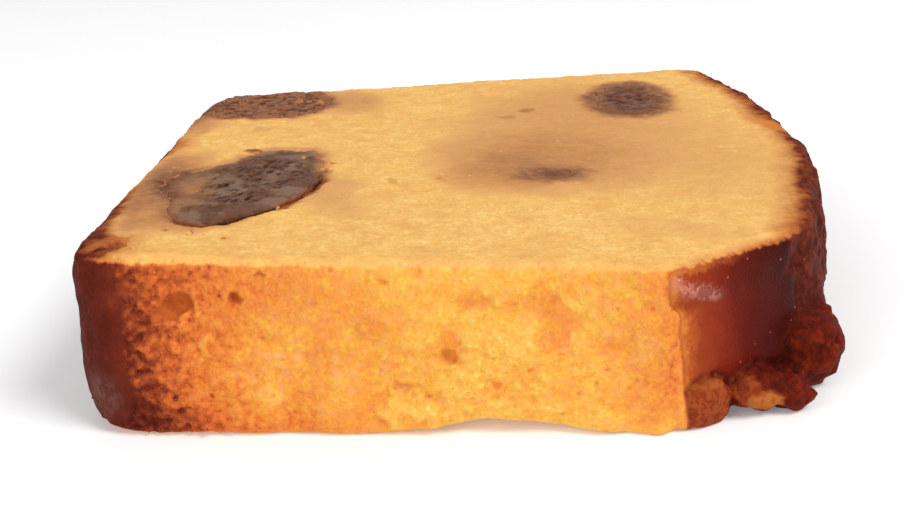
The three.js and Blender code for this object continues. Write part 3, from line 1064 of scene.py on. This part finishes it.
class Paint:
    """A material under construction, with its nodes made by short calls."""

    def __init__(self, name):
        self.material = bpy.data.materials.new(name)
        self.material.use_nodes = True
        self.tree = self.material.node_tree
        self.tree.nodes.clear()
        self.coordinates = self.node("ShaderNodeTexCoord").outputs["Object"]

    def node(self, kind, settings=None, inputs=None):
        """A node of a kind, with its settings and then its sockets' values or links."""
        node = self.tree.nodes.new(kind)
        for name, value in (settings or {}).items():
            if name == "stops":
                self._set_stops(node.color_ramp, value)
            else:
                setattr(node, name, value)
        for name, value in (inputs or {}).items():
            self._feed(node.inputs[name], value)
        return node

    def _set_stops(self, ramp, stops):
        while len(ramp.elements) < len(stops):
            ramp.elements.new(1.0)
        for element, (position, rgb) in zip(ramp.elements, stops):
            element.position = position
            element.color = (*as_rgb(rgb), 1)

    def _feed(self, socket, value):
        value = value.socket if isinstance(value, Sum) else as_rgb(value)
        if isinstance(value, bpy.types.NodeSocket):
            self.tree.links.new(value, socket)
        elif socket.type == "RGBA" and len(value) == 3:
            socket.default_value = (*value, 1)
        else:
            socket.default_value = value

    def mark(self, name):
        """A number that the mesh carries at each point."""
        node = self.node("ShaderNodeAttribute", {"attribute_name": name})
        return Sum(self, node.outputs["Fac"])

    def noise(self, size, detail=2.0, stretch=(1, 1, 1)):
        """Noise from 0 to 1 whose lumps are about size millimetres across."""
        vector = self.node(
            "ShaderNodeVectorMath", {"operation": "MULTIPLY"}, {0: self.coordinates, 1: stretch}
        )
        inputs = {"Vector": vector.outputs[0], "Scale": 1 / (size * MM), "Detail": detail}
        return Sum(self, self.node("ShaderNodeTexNoise", None, inputs).outputs["Fac"])

    def grains(self, size, places=None):
        """Distance to the nearest grain, from 0 at its middle, as a share of size millimetres."""
        inputs = {"Vector": places or self.coordinates, "Scale": 1 / (size * MM)}
        node = self.node("ShaderNodeTexVoronoi", {"feature": "F1"}, inputs)
        return Sum(self, node.outputs["Distance"])

    def step(self, low, high, value):
        """0 below low, 1 above high and smooth between; low may be the larger of the two."""
        settings = {"interpolation_type": "SMOOTHSTEP"}
        if low > high:
            return 1 - self.step(high, low, value)
        inputs = {"Value": value, "From Min": low, "From Max": high}
        return Sum(self, self.node("ShaderNodeMapRange", settings, inputs).outputs["Result"])

    def slope(self, low, high, value):
        """0 at low, 1 at high and straight between; low may be the larger of the two."""
        return ((value - low) * (1 / (high - low))).most(0.0).least(1.0)

    def along(self, direction):
        """How far the point lies along a direction from the origin, in millimetres."""
        inputs = {0: self.coordinates, 1: [share / MM for share in direction]}
        product = self.node("ShaderNodeVectorMath", {"operation": "DOT_PRODUCT"}, inputs)
        return Sum(self, product.outputs["Value"])

    def depth_behind(self, wall):
        """How far inside the line of a wall the point is, in millimetres."""
        start, inward = wall_line(wall)
        return self.along((*inward, 0)) - float(start @ inward)

    def below_cut(self):
        """How far below the upper cut face the point is, in millimetres."""
        lean = TOP_LEAN / SIZE[0]
        return self.along((-lean, 0, -1)) + float(HIGH[2] + lean * LOW[0])

    def ramp(self, value, *stops):
        """A colour that runs through the stops, each a position from 0 to 1 and its colour."""
        node = self.node("ShaderNodeValToRGB", {"stops": stops}, {"Fac": value})
        return node.outputs["Color"]

    def mix(self, share, first, second):
        """The first colour where share is 0, the second where it is 1."""
        settings = {"data_type": "RGBA", "blend_type": "MIX", "clamp_factor": True}
        inputs = {0: share, 6: first, 7: second}
        return self.node("ShaderNodeMix", settings, inputs).outputs[2]

    def bump(self, height, distance, strength):
        """A normal pushed by height, whose full range is distance millimetres."""
        inputs = {"Height": height, "Distance": distance * MM, "Strength": strength}
        return self.node("ShaderNodeBump", None, inputs).outputs["Normal"]

    def finish(self, **sockets):
        """Feeds the shader, whose other sockets are set by their names with spaces for underscores."""
        inputs = {name.replace("_", " "): value for name, value in sockets.items()}
        shader = self.node("ShaderNodeBsdfPrincipled", None, inputs)
        self.node("ShaderNodeOutputMaterial", None, {"Surface": shader.outputs["BSDF"]})
        return self.material


# ---- Materials ----


def cake_material(hue, name, glow):
    """Pale crumb on the cut faces, orange to brown on the pan walls, dark crust on base and dome.

    glow is how much of the light goes through the crumb: none in grains too small for it."""
    paint = Paint(name)
    ridge = paint.mark("ridge")
    torn = paint.mark("torn")
    speckle = paint.noise(0.40, 3.0) - 0.5
    fleck = paint.noise(0.95, 2.0) - 0.5
    cloud = paint.noise(2.8, 3.0) - 0.5
    cut = paint.step(0.90, 0.45, paint.below_cut() + fleck * 0.8).most(paint.mark("foot"))
    skin = paint.mark("skin") * (1 - cut)
    dome = paint.mark("dome") * (1 - torn) * (1 - cut)
    lip = paint.mark("lip") * (1 - torn) * (1 - cut)

    rim = rim_level(paint)
    baked = paint.mark("browning") * (1 - cut) + rim.most(paint.mark("rim_spots")) * cut
    pinholes = paint.step(0.13, 0.05, paint.grains(2.3) + speckle * 0.4) * (1 - skin) * (1 - cut * 0.6)
    even = (1 - skin * 0.5) * (1 - paint.step(0.45, 0.75, baked) * 0.7) * (1 - cut * 0.35)
    # Painted shade: the pinholes are painted browner, besides their bump.
    unevenness = (speckle * 0.55 + fleck * 0.36 + cloud * 0.30) * even + pinholes * 0.16
    # Painted light and shade: the crumb's ridges are painted paler and its hollows browner, here and a
    # little in the pale flecks below.
    level = baked + unevenness - ridge * (0.04 + baked * 0.06) * (1 - skin * 0.6)
    level = level - paint.mark("pinkish") * 0.10

    body = paint.mix(cut, wall_colour(paint, level, hue), cut_colour(paint, level + 0.12, hue))
    pale = paint.step(-0.10, 0.22, fleck + speckle * 0.6 + ridge * 0.05)
    pink = (paint.mark("pinkish") * 0.3 + (1 - cut) * 0.2) * pale * paint.step(0.55, 0.3, baked)
    specks = paint.mix(paint.step(0.25, 0.40, baked), "ffe094", "ffc68c")
    body = paint.mix(pink * (1 - skin), body, specks)
    # Painted highlight: the tops of the crumb's mounds are painted pinkish orange.
    painted_ridge_highlight = paint.step(0.1, 0.8, ridge) * paint.step(0.4, 0.5, baked) * paint.step(0.72, 0.58, baked)
    body = paint.mix(painted_ridge_highlight * (1 - cut) * (1 - skin) * 0.25, body, "e08a54")
    tan = paint.step(0.03, 0.16, cloud - fleck * 0.3) * (1 - skin) * paint.step(0.6, 0.3, baked)
    body = paint.mix(tan * 0.22, body, paint.mix(cut, "f08c3a", "dc9c5c"))

    # Painted highlights: the dome's pebbles are painted lighter on their ridges.
    pebbles = paint.ramp(
        0.5 + fleck * 0.9 + speckle * 0.7 + ridge * 0.11,
        (0.10, "300e08"),
        (0.45, "521c11"),
        (0.70, "682c1c"),
        (0.95, "7c4032"),
    )
    body = paint.mix(dome, body, pebbles)
    body = paint.mix(lip, body, lip_colour(paint, speckle + fleck))
    body = paint.mix(torn * 0.95, body, lump_colour(paint, fleck, speckle, ridge))

    dusty = paint.step(-0.25, 0.25, speckle + fleck)
    dust = paint.mix(dusty, "66382e", "8c665c")
    body = paint.mix(paint.mark("worn") * 0.4, body, dust)
    body = stained(paint, body, cloud + fleck, rim)
    hollow = paint.mix(paint.step(0.25, 0.50, baked), "dc7c2c", "b65a24")
    body = paint.mix(paint.mark("holes") * 0.85, body, hollow)
    sugar = paint.step(0.075, 0.045, paint.grains(1.7))
    body = paint.mix(sugar * (lip * 0.6 + dome * 0.3), body, "c08a74")
    # Painted glints: pale dots on the cut face stand in for light off its sugar crystals.
    sparkle = paint.step(0.12, 0.04, paint.grains(2.3) + speckle * 0.6 + cloud * 0.4) * cut
    body = paint.mix(sparkle * paint.step(0.4, 0.1, rim) * 0.25, body, "ffe8b0")
    body = paint.mix(paint.mark("dent") * cut * 0.75, body, "e0843c")

    grain = paint.noise(0.26, 4.0) + paint.step(0.0, 0.35, paint.grains(0.5)) * 0.4 - pinholes * 0.9
    grain = grain * (1 + cut * 0.2) + fleck * 1.0 * cut
    normal = paint.bump(grain, 0.15, 0.7)
    moist = paint.step(0.16, 0.22, fleck + speckle * 0.3) * cut
    return paint.finish(
        Base_Color=body,
        Roughness=0.66 + speckle * 0.4 - lip * 0.2,
        Normal=normal,
        Subsurface_Weight=glow,
        Subsurface_Radius=(1.0, 0.42, 0.16),
        Subsurface_Scale=0.0009,
        Specular_IOR_Level=0.06,
        IOR=1.45,
        Coat_Weight=moist * 0.35 + (paint.mark("sheen") * 0.9 + 0.04) * lip,
        Coat_Roughness=0.14,
    )


def rim_level(paint):
    """How dark the rims of the cut faces are baked, from 0 for crumb to 1 for crust."""
    wander = (paint.noise(1.6, 3.0) - 0.5) * 1.2 + (paint.noise(6.0, 2.0) - 0.5) * 4
    across = paint.along((0, 1, 0))
    narrow = 1 - paint.step(-14, -38, across) * 0.5
    base = paint.slope(4.4, 0.4, (paint.depth_behind(BASE_WALL) - 0.4 + wander) * narrow)
    base = base * (0.88 - paint.step(-26, -8, across) * 0.28)
    arch = paint.depth_behind(DOME_WALLS[0])
    for wall in DOME_WALLS[1:]:
        arch = arch.least(paint.depth_behind(wall))
    dome = paint.slope(5.6, 1.4, arch + wander) * 0.88
    by_dome = paint.step(18, 29, paint.along((1, 0, 0))) * 0.30 + 0.38
    lip = paint.slope(1.5, 0.2, paint.depth_behind(LIP_WALL) + wander * 0.2) * by_dome
    front = paint.slope(2.6, 0.2, paint.depth_behind(FRONT_WALL) + wander) * 0.12
    back = paint.slope(1.5, 0.2, paint.depth_behind(BACK_WALL) + wander) * 0.25
    return base.most(dome).most(lip).most(front).most(back)


def cut_colour(paint, level, hue):
    """Crumb as the knife left it, from the palest to the crust at its rims."""
    return paint.ramp(
        level,
        (0.00, "ffd488"),
        (0.12, hue.crumb),
        (0.26, "ebae64"),
        (0.40, "df9d58"),
        (0.60, "c67a3c"),
        (0.80, "a05227"),
        (0.93, "6c2a19"),
        (1.00, "501c12"),
    )


def wall_colour(paint, level, hue):
    """The pan walls, from pale torn crumb through orange to crust."""
    return paint.ramp(
        level,
        (0.00, "f2d588"),
        (0.10, "efbf5a"),
        (0.22, "ebad45"),
        (0.34, "e8993f"),
        (0.48, "e08439"),
        (0.60, "d66e33"),
        (0.74, "a04826"),
        (0.86, "6e2818"),
        (1.00, hue.crust),
    )


def lump_colour(paint, fleck, speckle, ridge):
    """Dark red crumb of the torn lumps, with a paler flake, an orange spot of opened crumb and a highlight
    painted along the flake's upper edge.
    """
    # Painted highlights: the lumps, and below them the opened crumb a little, are painted lighter on their
    # ridges.
    lump = paint.ramp(
        0.45 + fleck * 1.1 + speckle * 0.8 + ridge * 0.13,
        (0.05, "340c07"),
        (0.45, "5a180c"),
        (0.70, "74200e"),
        (0.95, "8c3014"),
    )
    flake = paint.mix(paint.step(-0.15, 0.15, fleck + speckle), "8a3619", "a64e26")
    lump = paint.mix(paint.mark("flake") * 0.85, lump, flake)
    crumbled = paint.mix(paint.step(-0.12, 0.12, fleck + ridge * 0.1), "9c461a", "b8682e")
    # Opened crumb, and a painted highlight along the flake's upper edge.
    return paint.mix(paint.mark("broken"), lump, crumbled)


def stained(paint, body, unevenness, rim):
    """The crumb's colour under fruit juice, which turns it tan, then brown and purple."""
    soaked = juice_colour(paint, unevenness)
    share = paint.step(0.02, 0.22, paint.mark("stain")) * paint.step(0.80, 0.50, rim)
    body = paint.mix(share, body, soaked)
    # Brown flecks, and painted shade in the crevice beside the front left fruit.
    return paint.mix(paint.mark("flecks"), body, "82401a")


def juice_colour(paint, unevenness):
    """Fruit juice in crumb, alike in the cake and in the crumb that is smeared over the fruit."""
    juice = paint.mark("stain")
    return paint.ramp(
        juice + unevenness * juice * 0.5,
        (0.00, "f0b66a"),
        (0.25, "dfa263"),
        (0.45, "c98b56"),
        (0.65, "a8744f"),
        (0.85, "7e5038"),
        (1.00, "5c341e"),
    )


def lip_colour(paint, unevenness):
    """Orange where the lip meets the crumb, then a red that darkens towards the dome, with a pinkish
    highlight painted along its glossy streak.
    """
    past_edge = paint.mark("lip_along")
    along = past_edge * (1 / LIP_LENGTH) + unevenness * 0.10
    red = paint.ramp(
        along,
        (0.00, "cf7a34"),
        (0.06, "b05222"),
        (0.13, "983c1a"),
        (0.34, "82260f"),
        (0.50, "641608"),
        (0.70, "521007"),
        (1.00, "3a0f0a"),
    )
    below = paint.below_cut() + unevenness
    top_border = paint.step(1.5, 0.7, below) * paint.step(10.0, 1.0, past_edge)
    red = paint.mix(top_border * 0.8, red, "cc7032")
    # Painted highlight: the glossy streak is painted pale pink.
    worn = paint.mark("sheen") * paint.step(-0.06, 0.10, unevenness)
    return paint.mix(worn * 0.6, red, "d68a72")


def fruit_material(hue):
    """Moist dark fruit flesh with open pores; juice softens its edges."""
    paint = Paint("fruit flesh")
    ridge = paint.mark("ridge")
    cells = paint.node("ShaderNodeCombineXYZ", None, {0: paint.mark("along"), 1: paint.mark("across")})
    fibre = paint.noise(0.7, 4.0)
    patch = paint.noise(3.5, 2.0)
    fine_pores = paint.step(0.44, 0.20, paint.grains(0.8, cells.outputs[0]) + (fibre - 0.5) * 0.5)
    fine_pores = fine_pores * paint.mark("porous")
    tone = paint.mark("tone")
    flesh = paint.ramp(
        tone,
        (0.0, hue.fruit),
        (0.4, "7a4426"),
        (0.7, "8a522c"),
        (1.0, "a2643c"),
    )
    flesh = paint.mix(paint.step(0.56, 0.38, fibre) * 0.5, flesh, "48240f")
    # Painted sheen: greyish patches stand in for light reflected off the moist flesh.
    flesh = paint.mix(paint.step(0.46, 0.62, patch) * (1 - tone * 0.9) * 0.7, flesh, "8e6e58")
    blotch = paint.step(0.50, 0.42, paint.noise(1.5, 3.0)) * paint.step(0.2, 0.5, tone)
    flesh = paint.mix(blotch * 0.75, flesh, "5a2814")
    # Painted shade: the pores are painted near black, besides their relief and bump.
    flesh = paint.mix(paint.mark("pores").most(fine_pores) * 0.92, flesh, "2c1409")
    peel = paint.mix(paint.step(0.42, 0.58, patch), "43200f", "83451f")
    flesh = paint.mix(paint.mark("peel"), flesh, peel)
    film = paint.mark("film")
    crumbs = paint.noise(2.8, 3.0) + paint.noise(0.95, 2.0) - 1
    flesh = paint.mix(film, flesh, juice_colour(paint, crumbs))
    normal = paint.bump(paint.noise(0.35, 4.0) - fine_pores * 1.5, 0.12, 0.8)
    return paint.finish(
        Base_Color=flesh,
        Roughness=0.34 + (fibre - 0.5) * 0.5 + film * 0.3 - ridge * 0.05,
        Normal=normal,
        Subsurface_Weight=0.1,
        Subsurface_Radius=(1.0, 0.3, 0.15),
        Subsurface_Scale=0.0008,
        Specular_IOR_Level=0.12,
        IOR=1.45,
    )


def floor_material(hue):
    paint = Paint("pale floor")
    tone = paint.mix(paint.noise(40, 2.0), hue.floor, [0.97 * level for level in hue.floor])
    return paint.finish(
        Base_Color=tone,
        Roughness=0.6,
        Specular_IOR_Level=0.2,
        Emission_Color=(1, 1, 1, 1),
        Emission_Strength=0.16,
    )


# ---- Fruit ----


def fruit_mesh(name, size):
    """A piece of fruit with a ragged outline, open pores where it was cut and crumb on its edge."""
    cut = FRUIT_CUTS[name]
    mesh = remeshed(node_mesh(name), size.fruit_voxel)
    points = rounded(reshaped(name, points_of(mesh)))
    move_points(mesh, points)
    normals = normals_of(mesh)
    gap = cut_gap(name, points)
    upper = step(0.6, 0.9, normals[:, 2]) * step(1.2, 0.4, top_height(points[:, 0]) - points[:, 2])
    along, across = along_and_across(points, cut["turn"])
    stretched = np.stack([0.5 * along, across, points[:, 2]], axis=1)
    core = ((*centre_of(name), HIGH[2]), (12, 5.0, THROUGH))
    middle = spot(points, core, 1.0, cut["turn"] + 8)
    clustered = step(0.0, 0.4, middle - 0.25 + 0.7 * noise(points, 3.0, 102)) * step(-0.6, -2.0, gap)
    porous = clustered * upper * cut["pores"]
    pores = pits(stretched + 0.6 * noise_vector(points, 1.2, 108), 1.3, 101, 0.5) * porous
    bare = -gap - cut["buried"]
    closed = 1 - open_side(name, points)
    height = upper * (0.04 + 0.22 * noise(stretched, 1.5, 103) + 0.12 * noise(points, 0.7, 104))
    height -= 0.6 * pores + step(0.05, -0.4, bare) * upper * closed
    height -= 0.55 * step(-1.3, 0.1, gap + 0.5 * noise(points, 1.1, 107)) * upper * (1 - closed)
    move_points(mesh, kept_in(points + normals * height[:, None]))
    peel = open_side(name, points) * np.maximum(step(-0.7, -0.2, gap), 1 - upper)
    edge = step(0.6 + 1.6 * cut["haze"], 0.0, bare) * cut["haze"] * closed
    edge = np.maximum(edge, 0.8 * spot(points, SMEARED, 1.2))
    in_crumb = step(0.4, 1.2, depth_behind(points, BACK_WALL))
    marks = {
        "film": np.maximum(edge, (1 - upper) * 0.8) * (1 - peel) * in_crumb,
        "stain": stain(points),
        "pores": np.clip(1.3 * pores, 0, 1),
        "porous": porous,
        "along": 0.45 * MM * along,
        "across": MM * across,
        "tone": np.full(len(points), cut["tone"]),
        "peel": peel,
        "ridge": ridge_marks(mesh),
    }
    mark(mesh, marks)
    return mesh


def reach_of(corners, centre):
    """Angles and distances from a centre to points close together along a closed outline."""
    starts = np.array(corners)
    ends = np.roll(starts, -1, axis=0)
    shares = np.linspace(0, 1, 12)[None, :, None]
    away = (starts[:, None] * (1 - shares) + ends[:, None] * shares).reshape(-1, 2) - centre
    angles = np.arctan2(away[:, 1], away[:, 0])
    order = np.argsort(angles)
    return angles[order], np.linalg.norm(away, axis=1)[order]


def reshaped(name, points):
    """The fruit's points, moved sideways near the cut face so that its rim follows the outline."""
    centre = centre_of(name)
    rim = points[top_height(points[:, 0]) - points[:, 2] < 0.6]
    spread = rim[np.abs(outline_gap(rim, FRUIT_CUTS[name]["outline"])) < 4, :2] - centre
    sectors = np.linspace(-np.pi, np.pi, 37)
    which = np.digitize(np.arctan2(spread[:, 1], spread[:, 0]), sectors)
    filled = np.unique(which)
    own = [np.linalg.norm(spread[which == each], axis=1).max() for each in filled]
    away = points[:, :2] - centre
    angle = np.arctan2(away[:, 1], away[:, 0])
    own_reach = np.interp(angle, sectors[filled - 1] + np.pi / 36, own, period=2 * np.pi)
    wanted = np.interp(angle, *reach_of(FRUIT_CUTS[name]["outline"], centre), period=2 * np.pi)
    wanted += HIDDEN_RIM * (1 - open_side(name, points))
    near_cut = step(7, 0.5, top_height(points[:, 0]) - points[:, 2])
    stretch = 1 + near_cut * (wanted / own_reach - 1)
    moved = points.copy()
    moved[:, :2] = centre + away * stretch[:, None]
    return kept_behind(kept_behind(moved, BACK_WALL, BEHIND_BACK), BASE_WALL, BEHIND_BASE)


# ---- Loose crumbs ----

# Crumbs that lie or cling where the knife and the hand left them: centre and radius.
CRUMBS = (
    ((-24.2, 30.0, 19.0), 0.80),
    ((-21.1, 28.3, 18.9), 0.75),
    ((-22.8, 29.4, 19.0), 0.45),
    ((-33.4, -33.0, 19.5), 0.28),
    ((-29.6, -34.4, 19.5), 0.24),
    ((-37.2, -36.4, 19.5), 0.40),
    ((-35.4, -35.0, 19.5), 0.30),
    ((-38.6, -37.0, 19.4), 0.45),
    ((-5.6, -14.6, 19.1), 0.22),
    ((-4.9, -15.2, 19.1), 0.20),
    ((-22.5, -3.6, 19.2), 0.28),
    ((-18.6, -6.2, 19.2), 0.24),
    ((-19.4, -9.6, 19.2), 0.26),
    ((-24.6, -25.0, 19.3), 0.26),
)


def loose_crumbs(seed=7):
    """Crumbs that stand out on their own, marked as plain crumb."""
    draw = np.random.default_rng(seed)
    centres = np.array([centre for centre, _ in CRUMBS])
    radii = np.array([radius for _, radius in CRUMBS])
    points, triangles = grains_at(draw, centres, radii, 4)
    points += 0.12 * noise_vector(points, 0.6, 121)
    crumbs = mesh_of(kept_in(points), triangles, "crumbs")
    up = np.tile([0.0, 0.0, 1.0], (len(centres), 1))
    marks = cake_marks(Places(centres, up))
    marks["skin"] *= 0
    marks["lip"] *= 0
    marks["stain"] *= 0.8
    mark(crumbs, marks, len(points) // len(CRUMBS))
    mark(crumbs, {"ridge": ridge_marks(crumbs)})
    return crumbs


# ---- Studio ----


FLOOR_REACH = 1.5  # from the middle to each side, in metres
SKY_STRENGTH = 0.45
LIT_POINT = (0, 0, 0.01)
LIGHTS = (  # name, place and width in metres, and power in watts
    ("key", (0.83, -0.70, 1.25), 0.75, 16.6),
    ("fill", (-1.00, -1.00, 0.80), 1.00, 7.2),
)
CAMERA_PLACE = (-0.01332, -0.16490, 0.06204)
CAMERA_AIM = (0.06087, 0.99815)  # the way it looks, on the floor
CAMERA_DOWN = 19.5  # degrees below level
CAMERA_ROLL = -2.5  # degrees
CAMERA_LENS = 51.26  # focal length in millimetres
SENSOR_WIDTH = 36


def area_light(name, place, size, power):
    """A round light that faces the slice."""
    data = bpy.data.lights.new(name, "AREA")
    data.shape = "DISK"
    data.size = size
    data.energy = power
    lamp = bpy.data.objects.new(name, data)
    lamp.location = place
    lamp.rotation_euler = (Vector(LIT_POINT) - Vector(place)).to_track_quat("-Z", "Y").to_euler()
    bpy.context.scene.collection.objects.link(lamp)


def camera():
    """The camera, which faces the front wall and looks down on the cut face."""
    down = np.radians(CAMERA_DOWN)
    roll = np.radians(CAMERA_ROLL)
    ahead = np.array([*(np.array(CAMERA_AIM) * np.cos(down)), -np.sin(down)])
    right = np.array([CAMERA_AIM[1], -CAMERA_AIM[0], 0])
    up = np.cross(right, ahead)
    side = np.cos(roll) * right + np.sin(roll) * up
    above = -np.sin(roll) * right + np.cos(roll) * up
    data = bpy.data.cameras.new("camera")
    data.lens = CAMERA_LENS
    data.sensor_width = SENSOR_WIDTH
    data.clip_start = 0.01
    seen = bpy.data.objects.new("camera", data)
    turn = Matrix([side, above, -ahead]).transposed().to_4x4()
    seen.matrix_world = Matrix.Translation(CAMERA_PLACE) @ turn
    bpy.context.scene.collection.objects.link(seen)
    bpy.context.scene.camera = seen


def floor(hue):
    corners = [(FLOOR_REACH * x, FLOOR_REACH * y, 0) for x, y in ((-1, -1), (1, -1), (1, 1), (-1, 1))]
    mesh = bpy.data.meshes.new("floor")
    mesh.from_pydata(corners, [], [(0, 1, 2, 3)])
    mesh.materials.append(floor_material(hue))
    plane = bpy.data.objects.new("floor", mesh)
    bpy.context.scene.collection.objects.link(plane)


def sky():
    world = bpy.data.worlds.new("sky")
    world.use_nodes = True
    background = world.node_tree.nodes["Background"]
    background.inputs["Color"].default_value = (1, 1, 1, 1)
    background.inputs["Strength"].default_value = SKY_STRENGTH
    bpy.context.scene.world = world


# ---- What a user may change ----


class CakeSizes(bpy.types.PropertyGroup):
    voxel: FloatProperty(
        name="Crumb detail",
        description="Size of the smallest relief in the cake, in millimetres",
        default=0.27,
        min=0.15,
        max=1.0,
    )
    fruit_voxel: FloatProperty(
        name="Fruit detail",
        description="Size of the smallest relief in the fruit, in millimetres",
        default=0.22,
        min=0.15,
        max=1.0,
    )
    torn_grains: IntProperty(
        name="Torn grains",
        description="How many crumb grains stand on the torn walls",
        default=1500,
        min=1,
        max=20000,
    )
    fine_grains: IntProperty(
        name="Fine grains",
        description="How many fine grains stand on the torn crumb",
        default=2400,
        min=1,
        max=9900,
    )
    cake_triangles: IntProperty(
        name="Cake triangles",
        description="How many triangles the finished cake keeps",
        default=194000,
        min=10000,
        max=199000,
    )


class CakeColours(bpy.types.PropertyGroup):
    crumb: FloatVectorProperty(
        name="Crumb",
        description="Pale crumb of the cut faces",
        subtype="COLOR",
        default=colour("f6bd68"),
        min=0,
        max=1,
    )
    crust: FloatVectorProperty(
        name="Crust",
        description="Dark skin of the base and dome",
        subtype="COLOR",
        default=colour("4e170e"),
        min=0,
        max=1,
    )
    fruit: FloatVectorProperty(
        name="Fruit",
        description="Flesh of the dried fruit",
        subtype="COLOR",
        default=colour("704830"),
        min=0,
        max=1,
    )
    floor: FloatVectorProperty(
        name="Floor",
        description="The pale floor under the slice",
        subtype="COLOR",
        default=(0.96, 0.96, 0.96),
        min=0,
        max=1,
    )


# ---- Operators ----


class BakeCake(bpy.types.Operator):
    """Make the slice's cake, with its torn crumb, cut faces and crust"""

    bl_idname = "cake.bake"
    bl_label = "Cake"

    def execute(self, context):
        sizes = context.scene.cake_sizes
        material = cake_material(context.scene.cake_colours, "crumb and crust", 0.12)
        grain_material = cake_material(context.scene.cake_colours, "crumb grains", 0.0)
        body = cake_mesh(sizes)
        mark(body, {**cake_marks(places_on(body)), "ridge": ridge_marks(body)})
        grains = loose_grains(body, sizes.fine_grains)
        piece_from(body, "cake_slice", material, ["cake"])
        piece_from(grains, "torn_crumb", grain_material)
        piece_from(loose_crumbs(), "loose_crumbs", grain_material)
        return {"FINISHED"}


class AddFruit(bpy.types.Operator):
    """Make the four pieces of dried fruit that the knife cut through"""

    bl_idname = "cake.fruit"
    bl_label = "Fruit"

    def execute(self, context):
        material = fruit_material(context.scene.cake_colours)
        for name in FRUITS:
            mesh = fruit_mesh(name, context.scene.cake_sizes)
            piece_from(mesh, name + "_flesh", material, [name])
        return {"FINISHED"}


class SetStudio(bpy.types.Operator):
    """Put a pale floor, soft lights and the camera round the slice"""

    bl_idname = "cake.studio"
    bl_label = "Studio"

    def execute(self, context):
        floor(context.scene.cake_colours)
        sky()
        for light in LIGHTS:
            area_light(*light)
        camera()
        context.scene.view_settings.view_transform = "Standard"
        return {"FINISHED"}


class CakePanel(bpy.types.Panel):
    bl_label = "Pound cake slice"
    bl_idname = "VIEW3D_PT_cake"
    bl_space_type = "VIEW_3D"
    bl_region_type = "UI"
    bl_category = "Cake"

    def draw(self, context):
        for group in (context.scene.cake_sizes, context.scene.cake_colours):
            for name in group.bl_rna.properties.keys()[1:]:
                self.layout.prop(group, name)
        for operator in OPERATORS:
            self.layout.operator(operator.bl_idname)


OPERATORS = (BakeCake, AddFruit, SetStudio)
CLASSES = (CakeSizes, CakeColours, *OPERATORS, CakePanel)


def register():
    for each in CLASSES:
        bpy.utils.register_class(each)
    bpy.types.Scene.cake_sizes = PointerProperty(type=CakeSizes)
    bpy.types.Scene.cake_colours = PointerProperty(type=CakeColours)


def unregister():
    del bpy.types.Scene.cake_sizes
    del bpy.types.Scene.cake_colours
    for each in reversed(CLASSES):
        bpy.utils.unregister_class(each)


def main():
    register()
    bpy.ops.cake.studio()
    bpy.ops.cake.bake()
    bpy.ops.cake.fruit()


if __name__ == "__main__":
    main()
